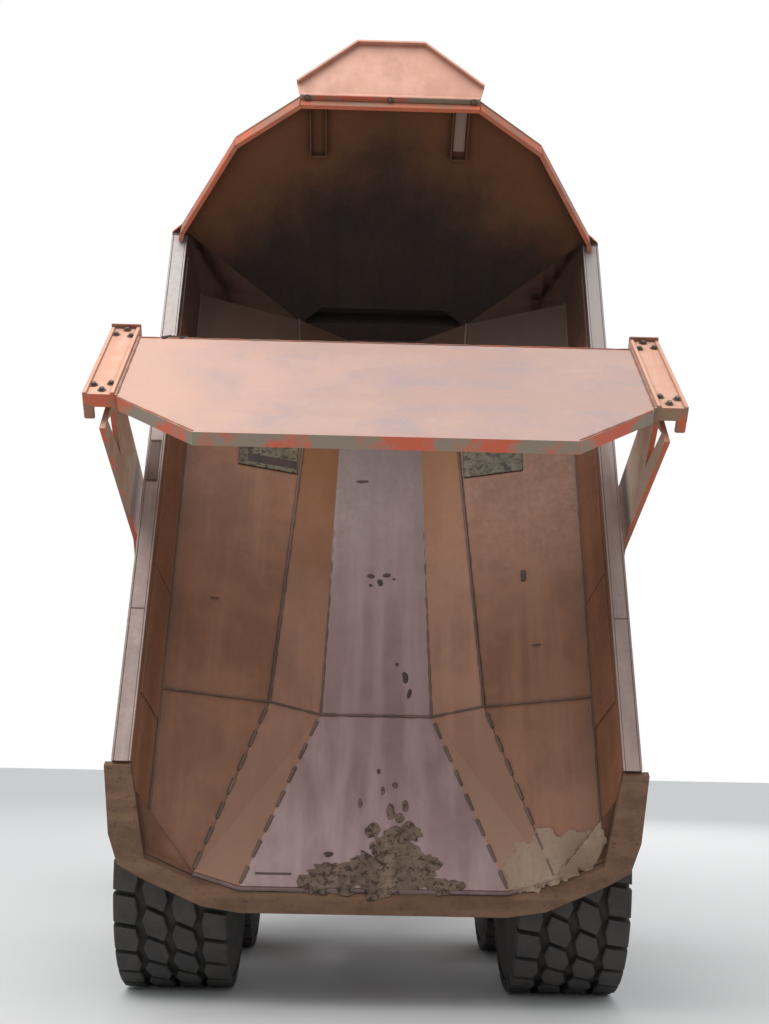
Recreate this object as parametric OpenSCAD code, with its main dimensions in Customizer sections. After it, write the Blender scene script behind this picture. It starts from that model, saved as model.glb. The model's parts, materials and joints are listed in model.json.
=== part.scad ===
// Articulated dump truck of the 40 tonne class, with its bed raised and its tailgate swung open.
// Millimetres. X is across the truck, Y is forward, Z is up and the ground is at zero.
// Y is counted from the rear axle, and in_frame() then moves the middle of the length to zero.

/* [Wheels] */
// Tyre diameter, out to the tips of the lugs
tyre_d = 1875; // [1840:5:1880]
// Depth of the tread lugs
lug_h = 48; // [30:1:60]
// Tyre width
tyre_w = 770; // [740:5:775]
// Width over the tyres
over_tyres = 3420; // [3400:5:3440]
// Diameter of the tyre's bead seat
bead_d = 635; // [600:5:680]
// Diameter of the wheel hub casing
hub_d = 420; // [380:5:460]
// Radius of the axle spindle
spindle_r = 90; // [70:1:100]
// Number of tread lugs on each side of a tyre
lug_n = 18; // [16:2:20]
// Running clearance of a shaft in its hole
run_gap = 0.05; // [0.02:0.01:0.09]

/* [Layout] */
// Gap between the middle and the rear tyre
bogie_gap = 75; // [70:5:85]
// Distance from the middle axle to the front axle
wheelbase = 4300; // [4280:5:4340]
// Distance from the articulation pivot to the front axle
pivot_back = 1300; // [1280:5:1310]
// Distance from the front axle to the bumper's face
front_reach = 2950; // [2930:5:2980]
// Height of the frame roll axis
roll_z = 1120; // [1110:5:1130]

/* [Bed] */
// Half width over the rails
rail_out_x = 1620; // [1610:1:1630]
// Width of a rail's top
rail_w = 120; // [110:1:130]
// Height of a rail's box
rail_h = 150; // [120:5:170]
// Length of a rail
rail_len = 4210; // [4180:5:4240]
// Thickness of the bed's plates
plate_t = 20; // [16:1:24]
// Half width at the crease between wall and sloped panel
crease_x = 1444; // [1435:1:1450]
// Slope of the tail end, from the bed's length
tail_slope = 52; // [51:0.5:53]
// Lean of the front wall, from upright
front_lean = 15; // [14:0.5:16]
// Depth of the rim round the tail
rim_depth = 45; // [40:5:50]
// Angle at which the bed stands raised
dump_angle = 70; // [68:1:70]
// Rail corner to the bed's hinge, along the rail
hinge_u = 481; // [475:1:487]
// Rail to the bed's hinge, downwards
hinge_drop = 1169; // [1165:1:1175]
// Bed hinge behind the rear axle
hinge_back = 400; // [395:1:405]
// Height of the bed hinge
hinge_z = 1600; // [1595:1:1605]
// Radius of the bed hinge pin
hinge_pin_r = 45; // [35:1:50]

/* [Tailgate] */
// Height of the tailgate plate
gate_h = 1373; // [1350:5:1390]
// Half width of the tailgate plate
gate_x = 1618; // [1610:1:1625]
// Half width of the plate's foot between its cut corners
gate_foot_x = 1104; // [1080:2:1130]
// Height of the cut corners
gate_corner_h = 430; // [400:5:460]
// Thickness of the tailgate plate
gate_t = 85; // [70:1:95]
// Gap between the closed tailgate and the tail rim
gate_gap = 12; // [8:1:16]
// Foot of the closed tailgate below the rail corner, along the tail end
gate_drop = 1050; // [1030:5:1070]
// Tailgate pivot from the rail corner, along the rail
gate_pivot_u = 1644; // [1640:1:1650]
// Tailgate pivot below the rail
gate_pivot_drop = 889; // [885:1:895]
// Angle by which the tailgate swings open
gate_open = 82.7; // [80:0.1:84]
// Middle plane of a tailgate arm
arm_x = 1700; // [1695:1:1708]
// Thickness of a tailgate arm
arm_t = 34; // [28:1:40]
// Radius of the tailgate pivot pin
gate_pin_r = 40; // [30:1:45]
// Half width over the tailgate's brackets
bracket_x = 1813; // [1800:1:1830]

/* [Hoist] */
// Middle plane of a hoist cylinder to the tyre beside it
hoist_gap = 240; // [230:1:250]
// Foot pivot of the hoist, ahead of the rear axle
hoist_foot_y = 2900; // [2880:5:2920]
// Height of the hoist's foot pivot
hoist_foot_z = 1000; // [990:5:1010]
// Hoist pin on the bed, from the rail corner along the rail
hoist_pin_u = 1761; // [1755:1:1767]
// Hoist pin on the bed, below the rail
hoist_pin_drop = 969; // [965:1:973]
// Outer radius of a hoist barrel
hoist_r = 105; // [95:1:110]
// Radius of a hoist rod
hoist_rod_r = 62; // [55:1:70]
// Radius of the hoist pins
hoist_pin_r = 35; // [28:1:40]
// Length of a hoist barrel
hoist_barrel_l = 1830; // [1800:5:1860]

/* [Steering] */
// Steering barrel pivot from the middle
steer_barrel_x = 650; // [645:1:655]
// Steering barrel pivot ahead of the articulation
steer_barrel_y = 1250; // [1240:5:1255]
// Steering rod pin from the middle
steer_rod_x = 430; // [425:1:435]
// Steering rod pin behind the articulation
steer_rod_back = 250; // [245:1:255]
// Height of the steering cylinders
steer_z = 1320; // [1315:1:1325]
// Radius of a steering barrel
steer_r = 65; // [55:1:68]
// Radius of a steering rod
steer_rod_r = 35; // [28:1:38]
// Length of a steering barrel
steer_barrel_l = 900; // [880:5:910]
// Radius of the articulation pins
pivot_pin_r = 60; // [50:1:70]

/* [Frames] */
// Inner half width between the rear frame's beams
rear_in_x = 250; // [245:1:255]
// Width of a rear frame beam
rear_beam_w = 130; // [110:5:140]
// Inner half width between the front frame's beams
front_in_x = 300; // [295:1:305]
// Width of a front frame beam
front_beam_w = 140; // [120:5:145]
// Bore radius of the tow eyes
tow_r = 30; // [25:1:35]
// Bore radius of the tie-down eyes
tie_r = 28; // [22:1:30]

/* [Cab] */
// Half width of the cab
cab_x = 850; // [830:5:860]
// Cab's rear face ahead of the articulation
cab_rear = 130; // [120:5:150]
// Length of the cab at its floor
cab_l = 1700; // [1680:10:1720]
// Height of the cab's floor
cab_floor_z = 1950; // [1930:5:1970]
// Height of the cab without its roof
cab_h = 1690; // [1660:5:1700]
// Height of the roof panel
roof_h = 110; // [90:5:120]
// Thickness of the cab's walls and door
wall_t = 60; // [50:1:70]
// Width of the door
door_l = 900; // [860:5:920]
// Gap round the door
door_gap = 12; // [8:1:14]
// Thickness of the window glass
glass_t = 6; // [5:1:8]

/* [Nose] */
// Half width of the hood
hood_x = 780; // [760:5:790]
// Height of the hood at the cab
hood_rear_z = 2600; // [2560:5:2640]
// Height of the hood at the nose
hood_front_z = 2300; // [2260:5:2330]
// Height of the hood's lower edge
hood_low_z = 1500; // [1490:5:1520]
// Thickness of the hood's walls
hood_t = 40; // [30:1:45]
// Height of the side decks
deck_z = 1800; // [1790:5:1810]
// Thickness of the side decks and fenders
deck_t = 35; // [25:1:40]
// Gap between a front tyre and its fender
fender_gap = 115; // [100:5:120]
// Inner edge of the fenders and decks
deck_in_x = 820; // [810:1:830]

/* [Hidden] */
$fn = 48;
seam = 0.3;                       // gap between neighbouring panels
move_gap = 6;                     // gap between pieces that move past each other
tyre_r = tyre_d / 2;
axle_z = tyre_r;
bogie_pitch = tyre_d + bogie_gap;
hoist_x = over_tyres / 2 - tyre_w - hoist_gap;
wheel_x = (over_tyres - tyre_w) / 2;
y_rear = 0;
y_mid = bogie_pitch;
y_front = bogie_pitch + wheelbase;
y_pivot = y_front - pivot_back;
y_bumper = y_front + front_reach;

// Turns a point [y, z] by an angle
function turn(p, a) = [p[0] * cos(a) - p[1] * sin(a), p[0] * sin(a) + p[1] * cos(a)];

// Tail end: its lines run down and back from the rail corner
tail_run = 1 / tan(tail_slope);
front_run = tan(front_lean);

// Gate pivot and the closed gate's foot, both from the rail corner
gate_pivot = [gate_pivot_u, -gate_pivot_drop];
gate_n = gate_gap + gate_t;
gate_foot = turn([-gate_drop, gate_n], tail_slope);
gate_foot_open = gate_pivot + turn(gate_foot - gate_pivot, -gate_open);
hinge_bed = [hinge_u, -hinge_drop];
hinge_row = [-hinge_back, hinge_z];

// A point of the bed, from the rail corner, where it stands in the truck
function bed_at(p) = hinge_row + turn(p - hinge_bed, dump_angle);
back_reach = -bed_at(gate_foot_open)[0];
mid_y = (y_bumper - back_reach) / 2;

// Hoist: its foot on the frame and its pin on the bed, which it reaches when raised
hoist_foot = [hoist_foot_y, hoist_foot_z];
hoist_pin = bed_at([hoist_pin_u, -hoist_pin_drop]);
hoist_line = hoist_pin - hoist_foot;
hoist_len = norm(hoist_line);
hoist_tilt = atan2(hoist_line[1], -hoist_line[0]);

// Steering: the line of a cylinder, from the barrel pivot back to the rod pin
steer_line = [steer_rod_x - steer_barrel_x, -steer_rod_back - steer_barrel_y];
steer_len = norm(steer_line);
steer_toe = atan2(-steer_line[0], -steer_line[1]);

paint = "#d9875f";
paint_dark = "#c4532c";
steel = "#7d6a5f";
worn = "#8d7d78";
dark = "#3a3b3d";
rubber = "#26272a";

module in_frame() { translate([0, -mid_y, 0]) children(); }
module both_sides() { children(); mirror([1, 0, 0]) children(); }

// Extrudes a [y, z] outline across the truck, from x0 to x1
module across(x0, x1, outline) {
    translate([x0, 0, 0]) rotate([90, 0, 90]) linear_extrude(x1 - x0) polygon(outline);
}

// A round bar across the truck at [y, z], from x0 to x1
module bar_x(p, r, x0, x1) {
    translate([x0, p[0], p[1]]) rotate([0, 90, 0]) cylinder(r = r, h = x1 - x0);
}

// A box given by its low and high corners
module block(low, high) { translate(low) cube(high - low); }

// Puts children, drawn in the bed's own lines from the rail corner, on the raised bed
module on_bed() {
    in_frame() translate([0, hinge_row[0], hinge_row[1]]) rotate([dump_angle, 0, 0])
        translate([0, -hinge_bed[0], -hinge_bed[1]]) children();
}

// Turns the closed gate, drawn in the bed's lines, to where it hangs open
module on_gate() {
    on_bed() translate([0, gate_pivot[0], gate_pivot[1]]) rotate([-gate_open, 0, 0])
        translate([0, -gate_pivot[0], -gate_pivot[1]]) children();
}

// Sketch plane of the tail end: y runs up the slope from the rail corner, z points outwards
module on_tail_end() { rotate([tail_slope, 0, 0]) children(); }

// Sketch plane of the front wall: y runs up the wall from the rail's end, z points to the tail
module on_front_wall() { translate([0, rail_len, 0]) rotate([90 - front_lean, 0, 0]) children(); }

// Solid through closed rings of points, all with as many points. A side in turned is cut along its
// other diagonal, and cap lists the polygons that close an end, by the ring's point numbers
module loft(rings, turned = [], cap = []) {
    n = len(rings[0]);
    last = len(rings) - 1;
    points = [for (ring = rings) each ring];
    sides = [for (k = [0 : last - 1], i = [0 : n - 1])
        let (j = (i + 1) % n, a = k * n, b = (k + 1) * n)
        each len(search(i, turned)) > 0
            ? [[a + i, a + j, b + i], [a + j, b + j, b + i]]
            : [[a + i, a + j, b + j], [a + i, b + j, b + i]]];
    ends = len(cap) > 0 ? cap : [[for (i = [0 : n - 1]) i]];
    low_end = [for (c = ends) [for (i = [len(c) - 1 : -1 : 0]) c[i]]];
    high_end = [for (c = ends) [for (i = c) last * n + i]];
    polyhedron(points = points, faces = concat(sides, low_end, high_end), convexity = 8);
}

// Bed sections, tail to front: where the section starts on the rail, how it runs back or
// forward with depth, the crease's depth, the strip's outer edge and the middle floor's edge
//  start, run, crease_w, strip_x, strip_w, floor_x, floor_w
BED_SECTIONS = [
    [rim_depth / sin(tail_slope) + seam, tail_run, -534, 1145, -662, 855, -746],
    [730, 0, -550, 732, -766, 388, -985],
    [2850, 0, -554, 589, -815, 310, -985],
    [rail_len - seam, front_run, -554, 672, -776, 290, -960],
];

// Outline of a section's inner face as [x, w]: rail, crease, strip edge, floor edge
function inner(s) = [[rail_out_x - rail_w, 0], [crease_x, s[2]], [s[3], s[4]], [s[5], s[6]]];
function unit(v) = v / norm(v);
function side_normal(a, b) = let (d = unit(b - a)) [-d[1], d[0]];

// Point b of the corner a, b, c, moved out by t
function mitre(a, b, c, t) = let (m = side_normal(a, b), n = side_normal(b, c)) b + t * (m + n) / (1 + m * n);

// The same outline moved outwards by the plate's thickness; x is half width, so outwards is out and down
function outer(s) = let (p = inner(s), q = [p[3][0] - 1, p[3][1]]) [
    p[0] + plate_t * [1, 0],
    mitre(p[0], p[1], p[2], plate_t),
    mitre(p[1], p[2], p[3], plate_t),
    mitre(p[2], p[3], q, plate_t)];

// The rail's outer corners and the foot of its slanted underside
function rail_corners(s) = [
    [rail_out_x, 0],
    [rail_out_x, -rail_h],
    [outer(s)[0][0] - 4, -rail_h - rail_w / 2]];

// A section point [x, w] in space, on the section's plane
function spot(s, p, side = 1) = [side * p[0], s[0] + p[1] * s[1], p[1]];

// Section shared between two others
function between(a, b, f) = a + (b - a) * f;

// The outer faces are cut along the same diagonals as the inner ones
module bed_side_shell() {
    loft([for (s = BED_SECTIONS) let (a = inner(s), b = outer(s), r = rail_corners(s))
        [for (p = [a[0], a[1], a[2], b[2], b[1], r[2], r[1], r[0]]) spot(s, p)]], turned = [3, 4, 5, 6, 7]);
}

// Height of the wide panel's outer face at half width x, near the middle of the bed
function panel_w(x) = let (o = outer(BED_SECTIONS[1]))
    o[1][1] + (o[2][1] - o[1][1]) * (o[1][0] - x) / (o[1][0] - o[2][0]);

side_rib_t = 70;
SIDE_RIBS = [520, 1180, 2120, 2980, 3800];   // places of the outer ribs along the rail
gate_boss_r = 110;
gate_plate_x = [crease_x - 64, crease_x - 24];

module bed_sides() {
    color(steel) on_bed() both_sides() {
        bed_side_shell();
        for (u = SIDE_RIBS) translate([0, u + side_rib_t / 2, 0]) rotate([90, 0, 0])
            linear_extrude(side_rib_t) polygon([
                [rail_out_x - 12, -rail_h + 10], [rail_out_x - 40, -rail_h - 120],
                [crease_x + 60, -520], [crease_x + 5, -570], [crease_x + 5, -500],
                [outer(BED_SECTIONS[1])[0][0] - 12, -rail_h + 10]]);
        difference() {
            union() {
                across(gate_plate_x[0], gate_plate_x[1], [
                    [gate_pivot_u - 260, panel_w(gate_plate_x[0]) + 8],
                    [gate_pivot_u + 260, panel_w(gate_plate_x[0]) + 8],
                    [gate_pivot_u + gate_boss_r, gate_pivot[1]],
                    [gate_pivot_u - gate_boss_r, gate_pivot[1]]]);
                bar_x(gate_pivot, gate_boss_r, gate_plate_x[0], gate_plate_x[1]);
            }
            bar_x(gate_pivot, gate_pin_r, gate_plate_x[0] - 1, gate_plate_x[1] + 1);
        }
    }
}

module gate_pins() {
    color(dark) on_bed() both_sides() {
        bar_x(gate_pivot, gate_pin_r, gate_plate_x[0] - 30, arm_x + arm_t / 2 + 40);
        bar_x(gate_pivot, gate_pin_r + 25, gate_plate_x[0] - 55, gate_plate_x[0] - seam);
        bar_x(gate_pivot, gate_pin_r + 30, gate_plate_x[1] + seam, arm_x - arm_t / 2 - move_gap);
        bar_x(gate_pivot, gate_pin_r + 25, arm_x + arm_t / 2 + move_gap, arm_x + arm_t / 2 + 40);
    }
}

module bed_floor() {
    color(worn) on_bed() {
        loft([for (s = BED_SECTIONS) let (a = inner(s), b = outer(s), in = [seam, 0])
            [for (p = [a[2] - in, a[3], [-a[3][0], a[3][1]], [in[0] - a[2][0], a[2][1]],
                [in[0] - b[2][0], b[2][1]], [-b[3][0], b[3][1]], b[3], b[2] - in]) spot(s, p)]],
            turned = [2, 6, 7], cap = [[0, 1, 6, 7], [1, 2, 5, 6], [2, 3, 4, 5]]);
    }
}

// Outer outline of the tail rim as [x, w], one side, from the rail downwards
RIM = [[1660, 0], [1660, -392], [1615, -569], [1483, -647], [1100, -815], [850, -854]];

// The rim closes the ends of the walls and the floor, up to their inner faces
module bed_rim() {
    mouth = inner(BED_SECTIONS[0]);
    on_slope = function (pts) [for (p = pts) [p[0], p[1] / sin(tail_slope)]];
    color(worn) on_bed() on_tail_end() translate([0, 0, -rim_depth]) linear_extrude(rim_depth) difference() {
        polygon(mirrored(on_slope(RIM)));
        polygon(mirrored(on_slope(concat([mouth[0] + [0, 60]], mouth))));
    }
}

// Front wall: arch corners above the rail and the foot's pocket, as [x, w]
ARCH = [[1540, 69], [1100, 786], [628, 1110]];
POCKET = [[620, -810], [624, -770], [488, -647]];
pocket_depth = 180;
arch_flange = 110;
arch_flange_t = 28;
function on_wall(pts) = [for (p = pts) [p[0], p[1] / cos(front_lean)]];
function mirrored(pts) = concat(pts, [for (i = [len(pts) - 1 : -1 : 0]) [-pts[i][0], pts[i][1]]]);

module front_outline() {
    s = BED_SECTIONS[3];
    o = outer(s);
    r = rail_corners(s);
    polygon(mirrored(on_wall([o[3], o[2], o[1], r[2], r[1], r[0], ARCH[0], ARCH[1], ARCH[2]])));
}

module arch_outline(inset) {
    k = [for (p = ARCH) p * (1 - inset / 1400)];
    polygon(mirrored(on_wall([[rail_out_x - rail_w / 2 - inset, 0], k[0], k[1], k[2]])));
}

module bed_front() {
    pocket = mirrored(on_wall(POCKET));
    color(steel) on_bed() on_front_wall() {
        difference() {
            translate([0, 0, -plate_t]) linear_extrude(plate_t) front_outline();
            translate([0, 0, -plate_t - 1]) linear_extrude(plate_t + 2) polygon(pocket);
        }
        // pocket behind the hole, as a tray
        difference() {
            translate([0, 0, -pocket_depth]) linear_extrude(pocket_depth - 1)
                polygon(mirrored(on_wall([POCKET[0] + [20, -20], POCKET[1] + [20, 8], POCKET[2] + [8, 20]])));
            translate([0, 0, -pocket_depth + plate_t]) linear_extrude(pocket_depth) polygon(pocket);
        }
        // folded flange round the arch, towards the load
        difference() {
            linear_extrude(arch_flange) arch_outline(0);
            translate([0, 0, -1]) linear_extrude(arch_flange + 2) arch_outline(arch_flange_t);
            translate([-rail_out_x, -200, -1]) cube([2 * rail_out_x, 200 + 40, arch_flange + 2]);
        }
        // outer stiffeners
        for (x = [-1010, -360, 290, 940]) translate([x, -540, -plate_t - 70]) cube([70, 1300, 71]);
        translate([-1430, 10, -plate_t - 90]) cube([2860, 130, 91]);
    }
}

// Spill guard: a tapered plate that reaches forward over the cab from the arch's top
GUARD = [[628, 0], [656, 107], [240, 436]];
guard_tilt = 15;
guard_t = 12;
guard_flange = 55;
guard_back = 31;                     // foot of the guard behind the wall's top
GUARD_BAR = [30, 45];                // depth and height of the bar that it stands on

module spill_guard() {
    top = ARCH[2][1];
    color(paint) on_bed() {
        translate([0, rail_len + top * front_run - guard_back, top + GUARD_BAR[1] / 2]) rotate([guard_tilt, 0, 0]) {
            linear_extrude(guard_t) polygon(mirrored(GUARD));
            both_sides() linear_extrude(guard_flange)
                polygon([GUARD[1], GUARD[2], GUARD[2] - [8, 10], GUARD[1] - [12, 6]]);
            translate([-GUARD[2][0], GUARD[2][1] - 12, 0]) cube([2 * GUARD[2][0], 12, guard_flange]);
        }
        on_front_wall() translate([-GUARD[0][0], top / cos(front_lean) + seam, guard_back - GUARD_BAR[0] / 2])
            cube([2 * GUARD[0][0], GUARD_BAR[1], GUARD_BAR[0]]);
    }
}

// Under the floor: two runners, cross ribs, hinge bosses and hoist lugs
RUNNER = [200, 300];                 // half widths of a runner's faces
runner_low = -1090;
runner_top = -1005 - seam;
runner_tail = 200;
FLOOR_RIBS = [1060, 1910, 2480, 3020, rail_len - 650];
rib_t = 40;
lug_t = 30;
hoist_eye_w = 110;
hinge_boss_r = 90;
function section_at(u) = u < BED_SECTIONS[2][0]
    ? between(BED_SECTIONS[1], BED_SECTIONS[2], (u - BED_SECTIONS[1][0]) / (BED_SECTIONS[2][0] - BED_SECTIONS[1][0]))
    : between(BED_SECTIONS[2], BED_SECTIONS[3], (u - BED_SECTIONS[2][0]) / (rail_len - BED_SECTIONS[2][0]));

module bed_underframe() {
    pin = [hoist_pin_u, -hoist_pin_drop];
    color(steel) on_bed() both_sides() {
        difference() {
            union() {
                across(RUNNER[0], RUNNER[1], [[runner_tail, runner_low], [runner_tail, -960],
                    [600, runner_top], [rail_len - 330, runner_top], [rail_len - 330, runner_low]]);
                across(RUNNER[0], RUNNER[1], [[hinge_u - 150, runner_low + 20], [hinge_u - hinge_boss_r, -hinge_drop],
                    [hinge_u + hinge_boss_r, -hinge_drop], [hinge_u + 190, runner_low + 20]]);
                bar_x(hinge_bed, hinge_boss_r, RUNNER[0], RUNNER[1]);
            }
            bar_x(hinge_bed, hinge_pin_r + run_gap, RUNNER[0] - 1, RUNNER[1] + 1);
        }
        for (u = FLOOR_RIBS) {
            o = outer(section_at(u));
            low = [0, -3];
            translate([0, u + rib_t, 0]) rotate([90, 0, 0]) linear_extrude(rib_t) polygon([
                [0, runner_low + 20], [RUNNER[1] + 180, runner_low + 20], [RUNNER[1] + 240, -940],
                [920, -800], [1330, -645], o[1] + [-60, -16] + low, o[2] + low, o[3] + low, [0, o[3][1] - 3]]);
        }
        // hoist lug: two plates that reach back from a rib, with the rod's eye between them
        for (plate = [[hoist_x - hoist_eye_w / 2 - lug_t, -868], [hoist_x + hoist_eye_w / 2, -805]]) difference() {
            x = plate[0];
            union() {
                across(x, x + lug_t, [[FLOOR_RIBS[1] + 2, plate[1]], [hoist_pin_u - 60, plate[1]],
                    [hoist_pin_u - 75, pin[1]], [hoist_pin_u, pin[1] - 60], [FLOOR_RIBS[1] + 2, -935]]);
                bar_x(pin, 75, x, x + lug_t);
            }
            bar_x(pin, hoist_pin_r, x - 1, x + lug_t + 1);
        }
    }
}

// Tailgate plate, drawn closed on the sloped tail end
module gate_plate() {
    v0 = -gate_drop;
    color(paint) on_gate() on_tail_end() translate([0, v0, gate_gap]) linear_extrude(gate_t) polygon(mirrored([
        [gate_foot_x, 0], [gate_x - 20, gate_corner_h], [gate_x - 20, gate_corner_h + 40],
        [gate_x - seam, gate_corner_h + 40], [gate_x - seam, gate_h]]));
}

bracket_top = gate_h + 144;         // top of a bracket above the gate's foot
bracket_low = gate_corner_h + 44;
bracket_t = 22;
bracket_deep = 105;
// Arm outline in the bed's lines, from the rail corner, gate closed
ARM = [[-310, -560], [1170, -700], [1545, -975], [1750, -940], [1740, -600], [1230, -250],
    [390, -140], [330, 130], [150, 240]];
ARM_SLOT = [[-240, -470], [-70, -310], [262, -476]];

module gate_arms() {
    v0 = -gate_drop;
    color(paint_dark) on_gate() both_sides() {
        on_tail_end() translate([0, v0, gate_gap + gate_t - bracket_deep]) difference() {
            translate([gate_x, bracket_low, bracket_deep - gate_t])
                cube([bracket_x - gate_x, bracket_top - bracket_low, gate_t]);
            translate([gate_x + bracket_t, bracket_low + bracket_t, -1])
                cube([bracket_x - gate_x - 2 * bracket_t, bracket_top - bracket_low - 2 * bracket_t,
                    bracket_deep - bracket_t + 1]);
        }
        difference() {
            union() {
                // the arm is cut off along the bracket's web
                intersection() {
                    across(arm_x - arm_t / 2, arm_x + arm_t / 2, ARM);
                    on_tail_end() translate([0, -2500, gate_gap + gate_t - bracket_t + 1 - 5000]) cube([3000, 5000, 5000]);
                }
                on_tail_end() translate([arm_x - arm_t / 2, bracket_low - gate_drop + bracket_t, gate_gap])
                    cube([arm_t, bracket_top - bracket_low - 2 * bracket_t + 1, gate_t - bracket_t + 1]);
                bar_x(gate_pivot, gate_boss_r + 10, arm_x - arm_t / 2, arm_x + arm_t / 2);
            }
            bar_x(gate_pivot, gate_pin_r + run_gap, arm_x - arm_t, arm_x + arm_t);
            across(arm_x - arm_t, arm_x + arm_t, ARM_SLOT);
        }
    }
}

// Rear frame
rear_out_x = rear_in_x + rear_beam_w;
beam_low = 1090;
beam_top = 1450;
pad_gap = 5;
ear_t = 40;
ear_r = 105;
housing_r = 255;
housing_back = y_pivot - 1010;
housing_front = y_pivot - 560;
tube_r = 190;
lowered = function (p) hinge_row + (p - hinge_bed);
pad_z = lowered([0, runner_low])[1] - pad_gap;
PADS = [1500, 2450, 3150];
bogie_beam_x = rear_out_x + 75;

module rear_frame() {
    tail_y = -450;
    color(dark) in_frame() difference() {
        union() {
            both_sides() {
                across(rear_in_x, rear_out_x, [[tail_y, beam_low + 80], [tail_y, beam_top - 60], [tail_y + 60, beam_top],
                    [3500, beam_top], [housing_back + 100, beam_top - 40], [housing_front - 30, beam_top - 60],
                    [housing_front - 30, beam_low - 150], [housing_back + 100, beam_low - 150],
                    [3300, beam_low], [2350, beam_low], [2250, beam_low + 130], [1700, beam_low + 130],
                    [1600, beam_low], [350, beam_low], [250, beam_low + 130], [-250, beam_low + 130]]);
                for (x = [RUNNER[0] - ear_t - pad_gap, RUNNER[1] + pad_gap]) {
                    across(x, x + ear_t, [[hinge_row[0] - ear_r, hinge_z], [hinge_row[0] + ear_r, hinge_z],
                        [hinge_row[0] + 260, beam_top - 30], [hinge_row[0], beam_low + 110],
                        [tail_y, beam_low + 110], [tail_y, beam_top + 40]]);
                    bar_x(hinge_row, ear_r, x, x + ear_t);
                }
                for (y = PADS) block([rear_in_x, y, beam_top - 5], [rear_out_x, y + 200, pad_z]);
            }
            // cross members
            block([-rear_in_x - 5, tail_y, beam_low + 60], [rear_in_x + 5, tail_y + 90, beam_top - 40]);
            for (y = [y_mid / 2 - 110, 2700]) block([-rear_in_x - 5, y, beam_low + 40], [rear_in_x + 5, y + 220, beam_top - 60]);
            bar_x([y_mid / 2, beam_low + 70], 95, -bogie_beam_x + seam, bogie_beam_x - seam);
            // housing of the roll joint
            translate([0, housing_front, roll_z]) rotate([90, 0, 0])
                cylinder(r = housing_r, h = housing_front - housing_back);
            // tow jaw at the tail
            for (z = [beam_low + 75, beam_low + 215]) block([-90, tail_y - 190, z], [90, tail_y + 5, z + 45]);
        }
        translate([0, housing_front + 1, roll_z]) rotate([90, 0, 0])
            cylinder(r = tube_r + run_gap, h = housing_front - housing_back + 2);
        translate([0, tail_y - 110, beam_low]) cylinder(r = tow_r, h = 400);
        both_sides() bar_x(hinge_row, hinge_pin_r, 0, RUNNER[1] + 200);
        both_sides() bar_x([3620, beam_top - 110], tie_r, rear_in_x - 1, rear_out_x + 1);
    }
}

module hinge_pins() {
    color(rubber) in_frame() both_sides() {
        bar_x(hinge_row, hinge_pin_r, RUNNER[0] - ear_t - pad_gap - 20, RUNNER[1] + ear_t + pad_gap + 20);
        bar_x(hinge_row, hinge_pin_r + 20, RUNNER[1] + ear_t + pad_gap + seam, RUNNER[1] + ear_t + pad_gap + 20);
    }
}

// Arms that carry the hoist outside the beams, with the plates and pins that the barrels turn on
module hoist_feet() {
    color(dark) in_frame() both_sides() {
        block([rear_out_x + seam, hoist_foot_y, hoist_foot_z + 150],
            [hoist_x + hoist_eye_w / 2 + lug_t, hoist_foot_y + 230, hoist_foot_z + 250]);
        for (x = [hoist_x - hoist_eye_w / 2 - lug_t, hoist_x + hoist_eye_w / 2]) difference() {
            union() {
                across(x, x + lug_t, [[hoist_foot_y - 74, hoist_foot_z], [hoist_foot_y + 40, hoist_foot_z - 60],
                    [hoist_foot_y + 230, hoist_foot_z + 151], [hoist_foot_y + 10, hoist_foot_z + 151]]);
                bar_x(hoist_foot, 75, x, x + lug_t);
            }
        }
        bar_x(hoist_foot, hoist_pin_r, hoist_x - hoist_eye_w / 2 - lug_t - 12, hoist_x + hoist_eye_w / 2 + lug_t + 12);
    }
}

// One hoist cylinder lies along its line, foot at zero and rod towards plus y
module on_hoist() {
    in_frame() both_sides() translate([hoist_x, hoist_foot[0], hoist_foot[1]]) rotate([180 - hoist_tilt, 0, 0]) children();
}

eye_side = 5;
rod_eye_r = 68;
module hoist_barrels() {
    eye_h = hoist_eye_w - 2 * eye_side;
    color(dark) on_hoist() difference() {
        union() {
            translate([-eye_h / 2, 0, 0]) rotate([0, 90, 0]) cylinder(r = rod_eye_r, h = eye_h);
            translate([-eye_h / 2, 0, -rod_eye_r]) cube([eye_h, 150, 2 * rod_eye_r]);
            translate([0, 120, 0]) rotate([-90, 0, 0]) cylinder(r = hoist_r, h = hoist_barrel_l - 120);
            translate([0, hoist_barrel_l - 90, 0]) rotate([-90, 0, 0]) cylinder(r = hoist_r + 10, h = 70);
        }
        translate([-eye_h, 0, 0]) rotate([0, 90, 0]) cylinder(r = hoist_pin_r + run_gap, h = 2 * eye_h);
        translate([0, 200, 0]) rotate([-90, 0, 0]) cylinder(r = hoist_r - 18, h = hoist_barrel_l - 270);
        translate([0, 200, 0]) rotate([-90, 0, 0]) cylinder(r = hoist_rod_r + run_gap, h = hoist_barrel_l);
    }
}

module hoist_rods() {
    eye_h = hoist_eye_w - 2 * eye_side;
    inside = 210;
    neck = 110;
    color("silver") on_hoist() difference() {
        union() {
            translate([0, hoist_barrel_l - inside, 0]) rotate([-90, 0, 0])
                cylinder(r = hoist_rod_r, h = hoist_len - hoist_barrel_l + inside - neck);
            translate([-eye_h / 2, hoist_len - neck - 2, -50]) cube([eye_h, neck, 100]);
            translate([0, hoist_barrel_l - inside, 0]) rotate([-90, 0, 0]) cylinder(r = hoist_r - 19, h = 80);
            translate([-eye_h / 2, hoist_len, 0]) rotate([0, 90, 0]) cylinder(r = rod_eye_r, h = eye_h);
        }
        translate([-eye_h, hoist_len, 0]) rotate([0, 90, 0]) cylinder(r = hoist_pin_r + 3, h = 2 * eye_h);
    }
}

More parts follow.
